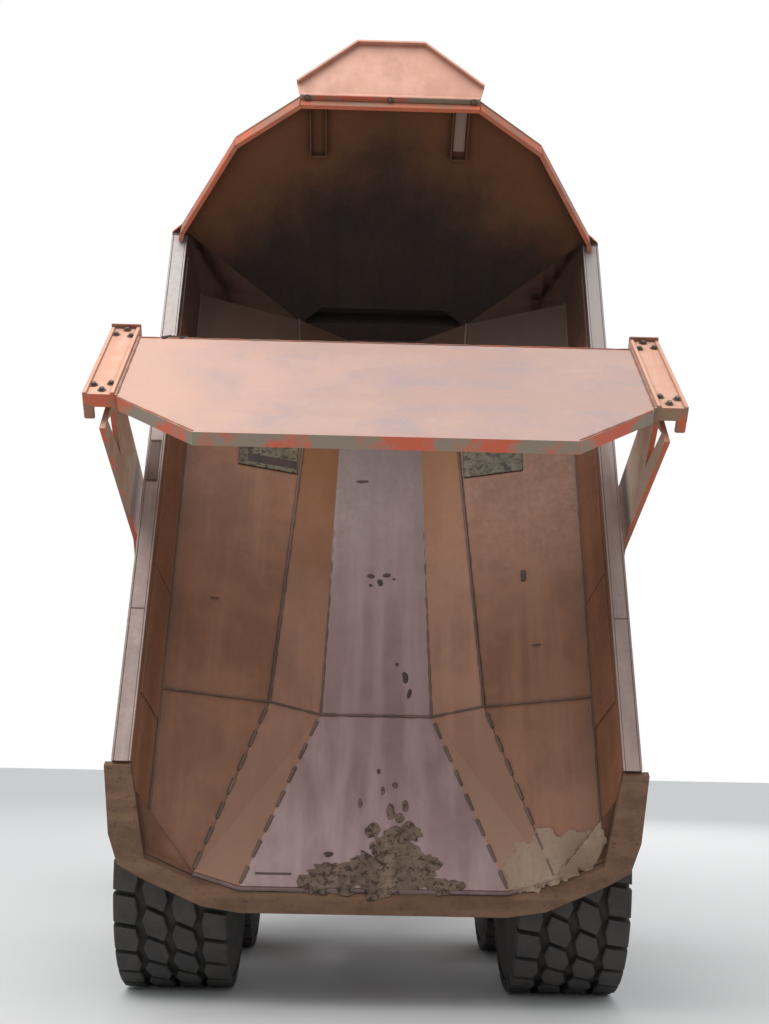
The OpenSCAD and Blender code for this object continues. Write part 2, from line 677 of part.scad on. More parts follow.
// Axles
AXLE_TUBE_R = 150;
brake_r = 235;
wheel_disc_x = wheel_x - 40;        // inner face of the wheel's disc
module axle_at(y) {
    color(dark) in_frame() translate([0, y, axle_z]) {
        rotate([0, 90, 0]) translate([0, 0, -wheel_disc_x + 200]) cylinder(r = AXLE_TUBE_R, h = 2 * wheel_disc_x - 400);
        rotate([0, 90, 0]) rotate_extrude() polygon([[0, -290], [150, -290], [300, -160], [300, 160], [150, 290], [0, 290]]);
        both_sides() {
            translate([wheel_disc_x - 260, 0, 0]) rotate([0, 90, 0]) cylinder(r = brake_r, h = 120);
            translate([wheel_disc_x - 250, 0, 0]) rotate([0, 90, 0]) cylinder(r = spindle_r, h = 250 + 110);
        }
    }
}

module rear_axles() { for (y = [y_rear, y_mid]) axle_at(y); }
module front_axle() { axle_at(y_front); }

// Walking beams that carry the two rear axles, with the tube they rock on
module bogie_beams() {
    x0 = bogie_beam_x;
    color(dark) in_frame() both_sides() {
        difference() {
            across(x0, x0 + 110, [[-120, axle_z - 190], [-200, axle_z - 110], [-200, axle_z + 110], [-120, axle_z + 190],
                [y_mid / 2 - 160, beam_low + 110], [y_mid / 2 + 160, beam_low + 110], [y_mid + 120, axle_z + 190],
                [y_mid + 200, axle_z + 110], [y_mid + 200, axle_z - 110], [y_mid + 120, axle_z - 190],
                [y_mid / 2 + 300, axle_z], [y_mid / 2 - 300, axle_z]]);
            for (y = [y_rear, y_mid]) bar_x([y, axle_z], AXLE_TUBE_R + seam, x0 - 1, x0 + 111);
        }
    }
}

module prop_shafts() {
    color(dark) in_frame() {
        translate([0, y_mid - 300 - seam, axle_z + 60]) rotate([90, 0, 0]) cylinder(r = 55, h = bogie_pitch - 600 - 2 * seam);
        translate([0, y_mid + 300 + seam, axle_z + 60]) rotate([-90, 0, 0])
            cylinder(r = 55, h = housing_back - y_mid - 300 - 60 - move_gap);
    }
}

module tail_lamps() {
    color("darkred") in_frame() both_sides() {
        block([rear_out_x - 4 + 4 + seam, -430, 1250], [rear_out_x + 330, -405, 1290]);
        block([rear_out_x + 90, -445, 1200], [rear_out_x + 330, -405, 1340]);
    }
}

// Wheels: half of a tyre's carcass as [in from the tyre's side, radius], from the bead to the tread
SIDEWALL = [[60, bead_d / 2 + 25], [0, bead_d / 2 + 260], [0, tyre_r - 178], [35, tyre_r - lug_h - 20]];
shoulder_in = 15;                    // lugs' outer ends, in from the tyre's side
lug_share = 0.52;                    // of each pitch, so that the two rows join where they meet

function ring_of(r, n) = [for (i = [0 : n - 1]) r * [cos(360 * i / n), -sin(360 * i / n)]];

// Outline with a lug and a groove in each pitch, from a share of the pitch onwards
function toothed(start) = let (low = tyre_r - lug_h, pitch = 360 / lug_n)
    [for (i = [0 : lug_n - 1], corner = [[0, tyre_r], [lug_share, tyre_r], [lug_share, low], [1, low]])
        let (a = (i + start + corner[0]) * pitch) corner[1] * [cos(a), sin(a)]];

// Side of the truck and axle of each wheel
module wheel_at(side, y) { in_frame() translate([side * wheel_x, y, axle_z]) rotate([0, 90 * side, 0]) children(); }

// Flat-faced carcass with two rows of staggered lugs, so that few triangles carry the tread
module tyre(side, y) {
    half = tyre_w / 2;
    walls = concat([for (s = SIDEWALL) [s[0] - half, s[1]]],
        [for (i = [len(SIDEWALL) - 1 : -1 : 0]) [half - SIDEWALL[i][0], SIDEWALL[i][1]]]);
    color(rubber) wheel_at(side, y) difference() {
        union() {
            loft([for (w = walls) [for (p = ring_of(w[1], lug_n)) [p[0], p[1], w[0]]]]);
            translate([0, 0, shoulder_in - half]) linear_extrude(half - shoulder_in) polygon(toothed(0));
            linear_extrude(half - shoulder_in) polygon(toothed(0.5));
        }
        translate([0, 0, -tyre_w]) linear_extrude(2 * tyre_w) polygon(ring_of(bead_d / 2 / cos(90 / lug_n), 2 * lug_n));
    }
}

module rim(side, y) {
    r = bead_d / 2 - seam;
    w = tyre_w / 2 - 62;
    color(dark) wheel_at(side, y) difference() {
        union() {
            rotate_extrude() polygon([[r - 22, -w], [r, -w], [r, w], [r - 22, w], [r - 22, 10], [hub_d / 2 + 10, -10],
                [hub_d / 2 + 10, -40], [r - 22, -20]]);
            translate([0, 0, -40]) cylinder(r = hub_d / 2 + 15, h = 60);
            translate([0, 0, 15]) cylinder(r1 = hub_d / 2 - 30, r2 = hub_d / 2 - 70, h = 210);
        }
        translate([0, 0, -41]) cylinder(r = spindle_r + run_gap, h = 41 + 120);
    }
}

module tyre_front_left() { tyre(-1, y_front); }
module tyre_front_right() { tyre(1, y_front); }
module tyre_mid_left() { tyre(-1, y_mid); }
module tyre_mid_right() { tyre(1, y_mid); }
module tyre_rear_left() { tyre(-1, y_rear); }
module tyre_rear_right() { tyre(1, y_rear); }
module rim_front_left() { rim(-1, y_front); }
module rim_front_right() { rim(1, y_front); }
module rim_mid_left() { rim(-1, y_mid); }
module rim_mid_right() { rim(1, y_mid); }
module rim_rear_left() { rim(-1, y_rear); }
module rim_rear_right() { rim(1, y_rear); }

// Hitch: a tube that rolls in the rear frame and an eye for the upright pins
eye_r = 170;
eye_low = 790;
eye_top = 1450;
clevis_gap = 90;
clevis_t = 30;
steer_pin_r = 25;
module hitch() {
    color(dark) in_frame() difference() {
        union() {
            translate([0, housing_front + 60, roll_z]) rotate([90, 0, 0])
                cylinder(r = tube_r, h = housing_front - housing_back + 120);
            translate([0, housing_front + 56, roll_z]) rotate([90, 0, 0]) cylinder(r = housing_r + 10, h = 50);
            translate([0, housing_back - move_gap, roll_z]) rotate([90, 0, 0]) cylinder(r = housing_r - 20, h = 45);
            block([-140, housing_front + 50, eye_low + 60], [140, y_pivot, eye_top - 60]);
            translate([0, y_pivot, eye_low]) cylinder(r = eye_r, h = eye_top - eye_low);
            // plates that hold the steering rods
            for (z = [steer_z - clevis_gap / 2 - clevis_t, steer_z + clevis_gap / 2]) both_sides() translate([0, y_pivot, z])
                linear_extrude(clevis_t) polygon([[0, -490], [200, -490], [steer_rod_x + 60, -steer_rod_back - 70],
                    [steer_rod_x + 85, -steer_rod_back], [steer_rod_x + 50, -steer_rod_back + 75],
                    [steer_rod_x - 60, -steer_rod_back + 70], [120, -150], [0, -150]]);
        }
        translate([0, y_pivot, eye_low - 1]) cylinder(r = pivot_pin_r + run_gap, h = eye_top - eye_low + 2);
        both_sides() translate([steer_rod_x, y_pivot - steer_rod_back, steer_z - 200]) cylinder(r = steer_pin_r, h = 400);
        // room between the plates for the rods' swing
        both_sides() translate([eye_r, y_pivot - 480, steer_z - clevis_gap / 2]) cube([600, 700, clevis_gap]);
    }
}

// Front frame
front_out_x = front_in_x + front_beam_w;
fork_t = 70;
front_low = 1000;
front_top = 1400;
module front_frame() {
    tail = y_pivot + 850;
    fork_end = y_front - 345;
    nose = y_bumper - 250 - seam;
    color(dark) in_frame() difference() {
        union() {
            both_sides() {
                across(front_in_x, front_out_x, [[tail, front_low - 60], [tail, front_top],
                    [y_bumper - 900, front_top - 40], [nose, front_top - 40],
                    [nose, front_low], [y_front + 350, front_low], [y_front + 260, front_low + 150],
                    [y_front - 260, front_low + 150], [y_front - 330, front_low - 60]]);
                // pivots of the steering barrels
                for (z = [steer_z - clevis_gap / 2 - clevis_t, steer_z + clevis_gap / 2])
                    block([front_out_x - 5, y_pivot + steer_barrel_y - 75, z],
                        [steer_barrel_x + 70, y_pivot + steer_barrel_y + 75, z + clevis_t]);
                // outriggers for cab, decks and fenders
                for (y = [y_front + 1180, nose - 250]) block([front_out_x - 5, y, front_top - 120], [1560, y + 90, front_top - 40]);
                for (y = [y_front + 1180, nose - 250]) block([1380, y, front_top - 60], [1470, y + 90, deck_z - deck_t - seam]);
            }
            for (y = [tail, y_front + 700, nose - 90]) block([-front_in_x - 5, y, front_low + 60], [front_in_x + 5, y + 90, front_top - 60]);
            // fork round the hitch's eye
            for (z = [eye_top + move_gap, eye_low - move_gap - fork_t]) {
                translate([0, y_pivot, z]) cylinder(r = 150, h = fork_t);
                translate([0, y_pivot, z]) linear_extrude(fork_t)
                    polygon([[-150, 0], [-230, 260], [-230, 600], [-front_in_x - 60, tail - y_pivot],
                        [-front_in_x - 60, fork_end - y_pivot], [front_in_x + 60, fork_end - y_pivot],
                        [front_in_x + 60, tail - y_pivot], [230, 600], [230, 260], [150, 0]]);
            }
            block([-230, y_pivot + 290, eye_low - move_gap - 5], [230, y_pivot + 690, eye_top + move_gap + 5]);
            both_sides() block([front_in_x, tail, eye_low - move_gap - fork_t],
                [front_out_x, fork_end, eye_top + move_gap + fork_t]);
            // cab mounts on the beams, and at the rear on the fork's upper plate
            both_sides() {
                block([140, y_pivot + cab_rear + 60, eye_top + move_gap],
                    [front_out_x, y_pivot + cab_rear + 220, eye_top + move_gap + fork_t]);
                block([front_in_x, y_pivot + cab_rear + 60, eye_top + fork_t],
                    [front_out_x, y_pivot + cab_rear + 220, cab_floor_z - wall_t - seam]);
                block([front_in_x, y_pivot + cab_rear + cab_l - 220, front_top - 60],
                    [front_out_x, y_pivot + cab_rear + cab_l - 60, cab_floor_z - wall_t - seam]);
                // stays that hold the fenders, and tongues that hold the bumper
                block([front_out_x - 5, y_front + 120, front_top - 100], [deck_in_x + 100 - seam, y_front + 240, front_top - 20]);
                block([deck_in_x + 60, y_front + 120, front_top - 100], [deck_in_x + 100 - seam, y_front + 240, 2000]);
                block([front_in_x, nose - 5, front_low], [front_out_x, y_bumper - 60 - seam, front_low + 190]);
                block([front_in_x + 5, y_front - 110, axle_z + 60], [front_out_x, y_front + 110, front_low + 160]);
            }
            // front tow jaw
            for (z = [front_low + 60, front_low + 200]) block([-95, nose - 5, z], [95, y_bumper - 20, z + 50]);
        }
        bar_x([y_front, axle_z], AXLE_TUBE_R + seam, -front_out_x - 1, front_out_x + 1);
        translate([0, y_bumper - 110, front_low]) cylinder(r = tow_r, h = 400);
        translate([0, y_pivot, eye_top]) cylinder(r = pivot_pin_r, h = 300);
        translate([0, y_pivot, eye_low - 300]) cylinder(r = pivot_pin_r, h = 300);
        both_sides() bar_x([nose - 150, front_low + 110], tie_r, front_in_x - 1, front_out_x + 1);
    }
}

// Pins held by the front frame: the upright ones of the articulation and those of the steering barrels
module frame_pins() {
    reach = 200;
    color(rubber) in_frame() translate([0, y_pivot, 0]) {
        translate([0, 0, eye_top - reach]) cylinder(r = pivot_pin_r, h = reach + move_gap + fork_t + 20);
        translate([0, 0, eye_low - move_gap - fork_t - 20]) cylinder(r = pivot_pin_r, h = reach + move_gap + fork_t + 20);
        both_sides() translate([steer_barrel_x, steer_barrel_y, steer_z - clevis_gap / 2 + seam])
            cylinder(r = steer_pin_r, h = clevis_gap - 2 * seam);
    }
}

// One steering cylinder, barrel pivot at zero and rod towards minus y
module steer_at(side) {
    in_frame() translate([side * steer_barrel_x, y_pivot + steer_barrel_y, steer_z]) rotate([0, 0, -side * steer_toe]) children();
}

steer_eye_h = clevis_gap - 2 * eye_side;
module steer_barrel(side) {
    color(dark) steer_at(side) difference() {
        union() {
            translate([0, 0, -steer_eye_h / 2]) cylinder(r = 55, h = steer_eye_h);
            translate([0, -90, 0]) rotate([90, 0, 0]) cylinder(r = steer_r, h = steer_barrel_l - 90);
            translate([-40, -120, -steer_eye_h / 2]) cube([80, 120, steer_eye_h]);
        }
        translate([0, 0, -100]) cylinder(r = steer_pin_r + run_gap, h = 200);
        translate([0, -140, 0]) rotate([90, 0, 0]) cylinder(r = steer_r - 12, h = steer_barrel_l - 180);
        translate([0, -140, 0]) rotate([90, 0, 0]) cylinder(r = steer_rod_r + run_gap, h = steer_barrel_l);
    }
}

module steer_rod(side) {
    inside = 415;
    color("silver") steer_at(side) difference() {
        union() {
            translate([0, -steer_barrel_l + inside, 0]) rotate([90, 0, 0])
                cylinder(r = steer_rod_r, h = steer_len - steer_barrel_l + inside - 40);
            translate([0, -steer_barrel_l + inside, 0]) rotate([90, 0, 0]) cylinder(r = steer_r - 13, h = 30);
            translate([0, -steer_len, -steer_eye_h / 2]) cylinder(r = 55, h = steer_eye_h);
        }
        translate([0, -steer_len, -100]) cylinder(r = steer_pin_r + 3, h = 200);
    }
}

module steer_barrel_left() { steer_barrel(-1); }
module steer_barrel_right() { steer_barrel(1); }
module steer_rod_left() { steer_rod(-1); }
module steer_rod_right() { steer_rod(1); }

// Cab, as a side outline [y, z] from its rear foot
cab_y = y_pivot + cab_rear;
CAB_SIDE = [[0, 0], [cab_l, 0], [cab_l + 40, 500], [cab_l - 160, cab_h], [30, cab_h]];
CAB_IN = [[wall_t, wall_t], [cab_l - wall_t, wall_t], [cab_l + 40 - wall_t, 500], [cab_l - 160 - wall_t, cab_h + 1],
    [30 + wall_t, cab_h + 1]];
door_y0 = 130;                      // rear edge of the door opening from the cab's rear
door_z0 = 150;
door_h = 1440;
door_pin_out = 18;                  // hinge pin's axis outside the cab's wall
sill_z = 620;
window_top = 1500;
// side windows as low and high [y, z], then the cab's side they are on
SIDE_WINDOWS = [[[140, sill_z], [800, window_top], 1], [[880, sill_z], [1440, window_top], 1], [[1130, sill_z], [1440, window_top], -1]];

module at_cab() { in_frame() translate([0, cab_y, cab_floor_z - wall_t]) children(); }

module front_pane(t0, t1) {
    // windscreen in the raked front, between two offsets from the outer face
    a = [cab_l + 40, 500];
    b = [cab_l - 160, cab_h];
    d = unit(b - a);
    n = [d[1], -d[0]];
    lo = a + d * 60;
    hi = b - d * 90;
    across(-cab_x + 100, cab_x - 100, [lo - n * t0, hi - n * t0, hi - n * t1, lo - n * t1]);
}

module cab_shell() {
    color(paint_dark) at_cab() {
        difference() {
            across(-cab_x, cab_x, CAB_SIDE);
            across(-cab_x + wall_t, cab_x - wall_t, CAB_IN);
            for (w = SIDE_WINDOWS) {
                x0 = w[2] > 0 ? cab_x - wall_t - 1 : -cab_x - 1;
                block([x0, w[0][0], w[0][1]], [x0 + wall_t + 2, w[1][0], w[1][1]]);
            }
            block([-cab_x - 1, door_y0, door_z0], [-cab_x + wall_t + 1, door_y0 + door_l, door_z0 + door_h]);
            block([-cab_x + 120, -1, sill_z + 80], [cab_x - 120, wall_t + 60, window_top]);
            front_pane(-30, wall_t + 30);
        }
        // door hinge pin with its two ears
        translate([-cab_x - door_pin_out, door_y0 + door_l + 4, door_z0 + 250]) cylinder(r = 9, h = 900);
        for (z = [door_z0 + 250, door_z0 + 1110]) translate([-cab_x - door_pin_out - 11, door_y0 + door_l + 4 - 11, z])
            cube([door_pin_out + 15, 70, 40]);
    }
}

module cab_roof() {
    color(paint) at_cab() {
        across(-cab_x - 15, cab_x + 15, [[-30, cab_h + seam], [cab_l - 60, cab_h + seam], [cab_l - 90, cab_h + roof_h - 30],
            [cab_l - 180, cab_h + roof_h], [20, cab_h + roof_h], [-30, cab_h + roof_h - 30]]);
    }
}

module cab_glass() {
    color([0.5, 0.6, 0.65, 0.4]) at_cab() {
        for (w = SIDE_WINDOWS) {
            x0 = w[2] > 0 ? cab_x - wall_t / 2 : -cab_x + wall_t / 2 - glass_t;
            block([x0, w[0][0] + seam, w[0][1] + seam], [x0 + glass_t, w[1][0] - seam, w[1][1] - seam]);
        }
        block([-cab_x + 120 + seam, wall_t / 2, sill_z + 80 + seam], [cab_x - 120 - seam, wall_t / 2 + glass_t, window_top - seam]);
        intersection() {
            front_pane(20, 20 + glass_t);
            block([-cab_x + 100 + seam, 0, 540], [cab_x - 100 - seam, cab_l + 300, 1630]);
        }
    }
}

module cab_door() {
    low = [door_y0 + door_gap, door_z0 + door_gap];
    high = [door_y0 + door_l - door_gap, door_z0 + door_h - door_gap];
    hinge_y = door_y0 + door_l + 4;
    color(paint_dark) at_cab() {
        difference() {
            block([-cab_x, low[0], low[1]], [-cab_x + wall_t, high[0], high[1]]);
            block([-cab_x - 1, low[0] + 90, sill_z], [-cab_x + wall_t + 1, high[0] - 90, high[1] - 70]);
        }
        // hinge barrels round the pin
        for (z = [door_z0 + 330, door_z0 + 950]) difference() {
            union() {
                translate([-cab_x - door_pin_out, hinge_y, z]) cylinder(r = 16, h = 120);
                translate([-cab_x - door_pin_out - 8, hinge_y - 90, z]) cube([door_pin_out + 9, 82, 120]);
            }
            translate([-cab_x - door_pin_out, hinge_y, z - 1]) cylinder(r = 9 + run_gap, h = 122);
        }
        // outer handle
        block([-cab_x - 30, low[0] + 30, low[1] + 470], [-cab_x - 18, low[0] + 170, low[1] + 500]);
        for (y = [low[0] + 30, low[0] + 150]) block([-cab_x - 20, y, low[1] + 470], [-cab_x + 1, y + 20, low[1] + 500]);
    }
}

module door_glass() {
    low = [door_y0 + door_gap, door_z0 + door_gap];
    high = [door_y0 + door_l - door_gap, door_z0 + door_h - door_gap];
    color([0.5, 0.6, 0.65, 0.4]) at_cab()
        block([-cab_x + wall_t / 2 - glass_t, low[0] + 90 + seam, sill_z + seam],
            [-cab_x + wall_t / 2, high[0] - 90 - seam, high[1] - 70 - seam]);
}

module seat() {
    color(rubber) at_cab() {
        block([-200, 420, wall_t + seam], [200, 820, 260]);
        block([-260, 380, 258], [260, 920, 400]);
        translate([0, 400, 380]) rotate([10, 0, 0]) block([-250, 0, 0], [250, 130, 640]);
    }
}

module console() {
    color(dark) at_cab() {
        block([-700, cab_l - 330, wall_t + seam + 380], [700, cab_l - 130, wall_t + 640]);
        block([-120, cab_l - 260, wall_t + seam], [120, cab_l - 140, wall_t + 400]);
        translate([0, cab_l - 330, 640]) rotate([35, 0, 0]) {
            cylinder(r = 25, h = 140);
            translate([0, 0, 130]) rotate_extrude() translate([210, 0]) circle(r = 16);
            for (a = [0, 120, 240]) rotate([0, 0, a]) translate([0, -10, 122]) cube([212, 20, 16]);
        }
        block([380, 420, wall_t + seam], [620, 1000, 520]);
    }
}

// Hood, as a side outline [y, z]
hood_y0 = cab_y + cab_l + 60;
hood_hinge = [y_bumper - 180, hood_low_z - 20];
HOOD_SIDE = [[hood_y0, hood_low_z], [hood_y0, hood_rear_z - 60], [hood_y0 + 60, hood_rear_z],
    [y_bumper - 560, hood_front_z], [y_bumper - 150, hood_front_z - 170], [y_bumper - 60, hood_front_z - 330],
    [y_bumper - 60, hood_low_z]];
HOOD_IN = [[hood_y0 - 1, hood_low_z - 1], [hood_y0 - 1, hood_rear_z - 90], [hood_y0 + 70, hood_rear_z - hood_t],
    [y_bumper - 570, hood_front_z - hood_t], [y_bumper - 180, hood_front_z - 205], [y_bumper - 60 - hood_t, hood_front_z - 345],
    [y_bumper - 60 - hood_t, hood_low_z - 1]];
GRILLE = [[-620, hood_low_z + 90], [620, hood_front_z - 380]];
module hood() {
    color(paint) in_frame() difference() {
        union() {
            difference() {
                across(-hood_x, hood_x, HOOD_SIDE);
                across(-hood_x + hood_t, hood_x - hood_t, HOOD_IN);
                block([GRILLE[0][0], y_bumper - 150, GRILLE[0][1]], [GRILLE[1][0], y_bumper, GRILLE[1][1]]);
                // side air slots
                both_sides() for (i = [0 : 4]) block([hood_x - hood_t - 1, y_bumper - 1500 + i * 150, 1980],
                    [hood_x + 1, y_bumper - 1400 + i * 150, 2180]);
            }
            both_sides() across(hood_x - 160, hood_x - 100, [[hood_hinge[0] - 45, hood_hinge[1]], [hood_hinge[0] + 45, hood_hinge[1]],
                [y_bumper - 60 - hood_t + 5, hood_low_z + 60], [y_bumper - 60 - hood_t + 5, hood_low_z + 180], [hood_hinge[0] - 45, hood_low_z + 60]]);
            both_sides() bar_x(hood_hinge, 45, hood_x - 160, hood_x - 100);
        }
        both_sides() bar_x(hood_hinge, 20 + run_gap, hood_x - 200, hood_x - 90);
    }
}

module grille() {
    bars = 9;
    h = GRILLE[1][1] - GRILLE[0][1];
    pitch = h / bars;
    y = y_bumper - 60 - hood_t + seam;
    color(dark) in_frame() {
        difference() {
            block([GRILLE[0][0] + seam, y, GRILLE[0][1] + seam], [GRILLE[1][0] - seam, y + 30, GRILLE[1][1] - seam]);
            for (i = [0 : bars - 1]) block([GRILLE[0][0] + 40, y - 1, GRILLE[0][1] + i * pitch + 22],
                [GRILLE[1][0] - 40, y + 31, GRILLE[0][1] + (i + 1) * pitch - 12]);
        }
        for (x = [-300, 0, 300]) block([x - 12, y, GRILLE[0][1] + seam], [x + 12, y + 30, GRILLE[1][1] - seam]);
    }
}

module engine_block() {
    color("dimgray") in_frame() {
        block([-420, y_front + 850, 1460], [420, y_bumper - 750, 2080]);
        block([-250, y_front + 850, front_low + 100], [250, y_bumper - 900, 1465]);
        block([-250, y_front - 330, front_top - 60 + seam], [250, y_front + 851, 1700]);
    }
}

// Radiator and the cross tube that the hood turns on
module radiator() {
    color(dark) in_frame() {
        block([-600, y_bumper - 520, front_top - 40 + seam], [600, y_bumper - 380, 2030]);
        both_sides() block([hood_x - 92, hood_hinge[0] - 50, 1300], [hood_x - 62, hood_hinge[0] + 50, hood_hinge[1] + 40]);
        both_sides() block([hood_x - 190, hood_hinge[0] - 50, 1300], [hood_x - 168, hood_hinge[0] + 50, hood_hinge[1] + 40]);
        both_sides() bar_x(hood_hinge, 20, hood_x - 190, hood_x - 62);
        both_sides() block([front_in_x, y_bumper - 400, front_top - 40 + seam], [hood_x - 62, y_bumper - 310, front_top + 30]);
        both_sides() block([hood_x - 190, y_bumper - 400, 1300], [hood_x - 62, hood_hinge[0] + 50, front_top + 30 - 40]);
    }
}

module bumper() {
    w = 1440;
    color(dark) in_frame() difference() {
        block([-w, y_bumper - 250, 780], [w, y_bumper, 1290]);
        block([-w + 60, y_bumper - 251, 840], [w - 60, y_bumper - 60, 1230]);
        block([-110, y_bumper - 252, 1000], [110, y_bumper + 1, 1300]);
        both_sides() block([990, y_bumper - 100, 960], [1330, y_bumper + 1, 1120]);
        // way in for the tow pin, from below
        translate([0, y_bumper - 110, 779]) cylinder(r = 2 * tow_r, h = 62);
    }
}

module head_lamps() {
    color("white") in_frame() both_sides() block([990 + seam, y_bumper - 60 + seam, 960 + seam], [1330 - seam, y_bumper - 8, 1120 - seam]);
}

// Fenders over the front tyres, running into flat decks beside the hood
module fenders() {
    r_in = tyre_r + fender_gap;
    deck_end = y_bumper - 190;
    color(paint_dark) in_frame() both_sides() {
        translate([deck_in_x + 100, 0, 0]) rotate([90, 0, 90]) linear_extrude(over_tyres / 2 + 10 - deck_in_x - 100)
            intersection() {
                translate([y_front, axle_z]) difference() {
                    circle(r = r_in + deck_t);
                    circle(r = r_in);
                }
                polygon([[y_front - 1300, axle_z - 150], [y_front + 400, axle_z - 150], [y_front + 400, axle_z + 300],
                    [y_front + 1300, axle_z + 300], [y_front + 1300, axle_z + 1400], [y_front - 1300, axle_z + 1400]]);
            }
        block([deck_in_x, y_front + 640, deck_z - deck_t], [over_tyres / 2 + 10, deck_end, deck_z]);
    }
}

// Steps up to the decks, with one ladder on each side
module steps() {
    y0 = y_front + 1320;
    color(dark) in_frame() both_sides() {
        for (y = [y0, y0 + 430]) block([1480, y, 560], [1640, y + 18, deck_z - deck_t - seam]);
        for (z = [560, 860, 1160, 1460]) block([1480, y0, z], [1640, y0 + 448, z + 30]);
    }
}

module tanks() {
    color(dark) in_frame() both_sides()
        block([920, y_front + 1270 + seam, 1000], [1370, y_bumper - 500 - 2 * seam, deck_z - deck_t - 120]);
}

rail_r = 19;
module handrails() {
    top = deck_z + 950;
    x = over_tyres / 2 - 40;
    y0 = y_front + 1850;
    y1 = y_bumper - 260;
    color(paint) in_frame() both_sides() {
        for (y = [y0, (y0 + y1) / 2, y1]) translate([x, y, deck_z + seam]) cylinder(r = rail_r, h = 975);
        for (z = [top, deck_z + 480]) translate([x, y0 - 5, z]) rotate([-90, 0, 0]) cylinder(r = rail_r - 4, h = y1 - y0 + 10);
    }
}

module mirrors() {
    color(rubber) in_frame() both_sides() {
        translate([0, cab_y + cab_l + 60, 0]) {
            block([cab_x + seam + 10, -60, 2780], [1500, -25, 2815]);
            block([1450, -70, 2560], [1690, -10, 3020]);
        }
        block([cab_x + seam, cab_y + cab_l - 60, 2760], [cab_x + 40, cab_y + cab_l + 40, 2830]);
    }
}

module exhaust() {
    color(dark) in_frame() {
        translate([cab_x + 110, cab_y + 200, cab_floor_z + 60]) cylinder(r = 85, h = 1000);
        translate([cab_x + 110, cab_y + 200, cab_floor_z + 1000]) cylinder(r = 60, h = 620);
        for (z = [300, 900]) block([cab_x + seam, cab_y + 170, cab_floor_z + z], [cab_x + 60, cab_y + 230, cab_floor_z + z + 60]);
    }
}

bed_floor();
bed_sides();
bed_rim();
bed_front();
bed_underframe();
spill_guard();
gate_pins();
gate_plate();
gate_arms();
rear_frame();
hinge_pins();
hoist_feet();
hoist_barrels();
hoist_rods();
rear_axles();
bogie_beams();
prop_shafts();
tail_lamps();
tyre_front_left();
tyre_front_right();
tyre_mid_left();
tyre_mid_right();
tyre_rear_left();
tyre_rear_right();
rim_front_left();
rim_front_right();
rim_mid_left();
rim_mid_right();
rim_rear_left();
rim_rear_right();
hitch();
steer_barrel_left();
steer_barrel_right();
steer_rod_left();
steer_rod_right();
front_frame();
frame_pins();
front_axle();
cab_shell();
cab_roof();
cab_glass();
cab_door();
door_glass();
seat();
console();
hood();
grille();
engine_block();
radiator();
bumper();
head_lamps();
fenders();
steps();
tanks();
handrails();
mirrors();
exhaust();
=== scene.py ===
"""Dress an articulated dump truck, its bed tipped up and its tailgate open overhead."""

from __future__ import annotations

import json
import logging
import math
from dataclasses import dataclass, field
from enum import Enum

import bmesh
import bpy
from mathutils import Matrix, Vector, noise
from mathutils.bvhtree import BVHTree

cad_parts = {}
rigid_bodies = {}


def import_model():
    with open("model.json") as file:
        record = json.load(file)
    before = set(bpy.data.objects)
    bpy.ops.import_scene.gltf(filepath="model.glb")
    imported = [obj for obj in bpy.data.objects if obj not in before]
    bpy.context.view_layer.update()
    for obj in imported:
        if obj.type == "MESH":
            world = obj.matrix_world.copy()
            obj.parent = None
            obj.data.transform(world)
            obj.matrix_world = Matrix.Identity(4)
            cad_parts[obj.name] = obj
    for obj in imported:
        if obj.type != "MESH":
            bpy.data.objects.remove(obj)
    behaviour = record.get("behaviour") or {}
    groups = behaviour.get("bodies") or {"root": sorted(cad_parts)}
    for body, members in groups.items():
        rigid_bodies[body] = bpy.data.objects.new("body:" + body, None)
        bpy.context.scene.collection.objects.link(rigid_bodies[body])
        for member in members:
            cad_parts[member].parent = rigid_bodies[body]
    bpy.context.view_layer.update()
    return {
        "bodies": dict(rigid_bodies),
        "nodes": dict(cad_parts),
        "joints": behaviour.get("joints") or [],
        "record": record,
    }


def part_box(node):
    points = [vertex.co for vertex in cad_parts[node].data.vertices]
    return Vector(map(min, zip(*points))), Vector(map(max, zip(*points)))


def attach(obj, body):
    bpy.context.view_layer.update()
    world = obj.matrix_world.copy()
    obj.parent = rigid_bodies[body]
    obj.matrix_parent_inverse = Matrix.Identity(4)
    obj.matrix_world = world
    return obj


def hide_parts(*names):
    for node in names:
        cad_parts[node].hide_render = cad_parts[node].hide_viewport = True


LOG = logging.getLogger("dump_truck")
Socket = bpy.types.NodeSocket
Colour = Socket | tuple
FRAME: dict = {}
# Both sides of the truck: the sign of X, and the word in a piece's name
SIDES = ((-1, "left"), (1, "right"))


def linear(code: str) -> tuple[float, float, float, float]:
    """Turn an sRGB hex value into linear colour.

    Args:
        code: six hex digits with a leading hash sign.

    Returns:
        Red, green, blue and an alpha of one.
    """
    parts = [int(code[i : i + 2], 16) / 255 for i in (1, 3, 5)]
    red, green, blue = (p / 12.92 if p <= 0.04045 else ((p + 0.055) / 1.055) ** 2.4 for p in parts)
    return red, green, blue, 1.0


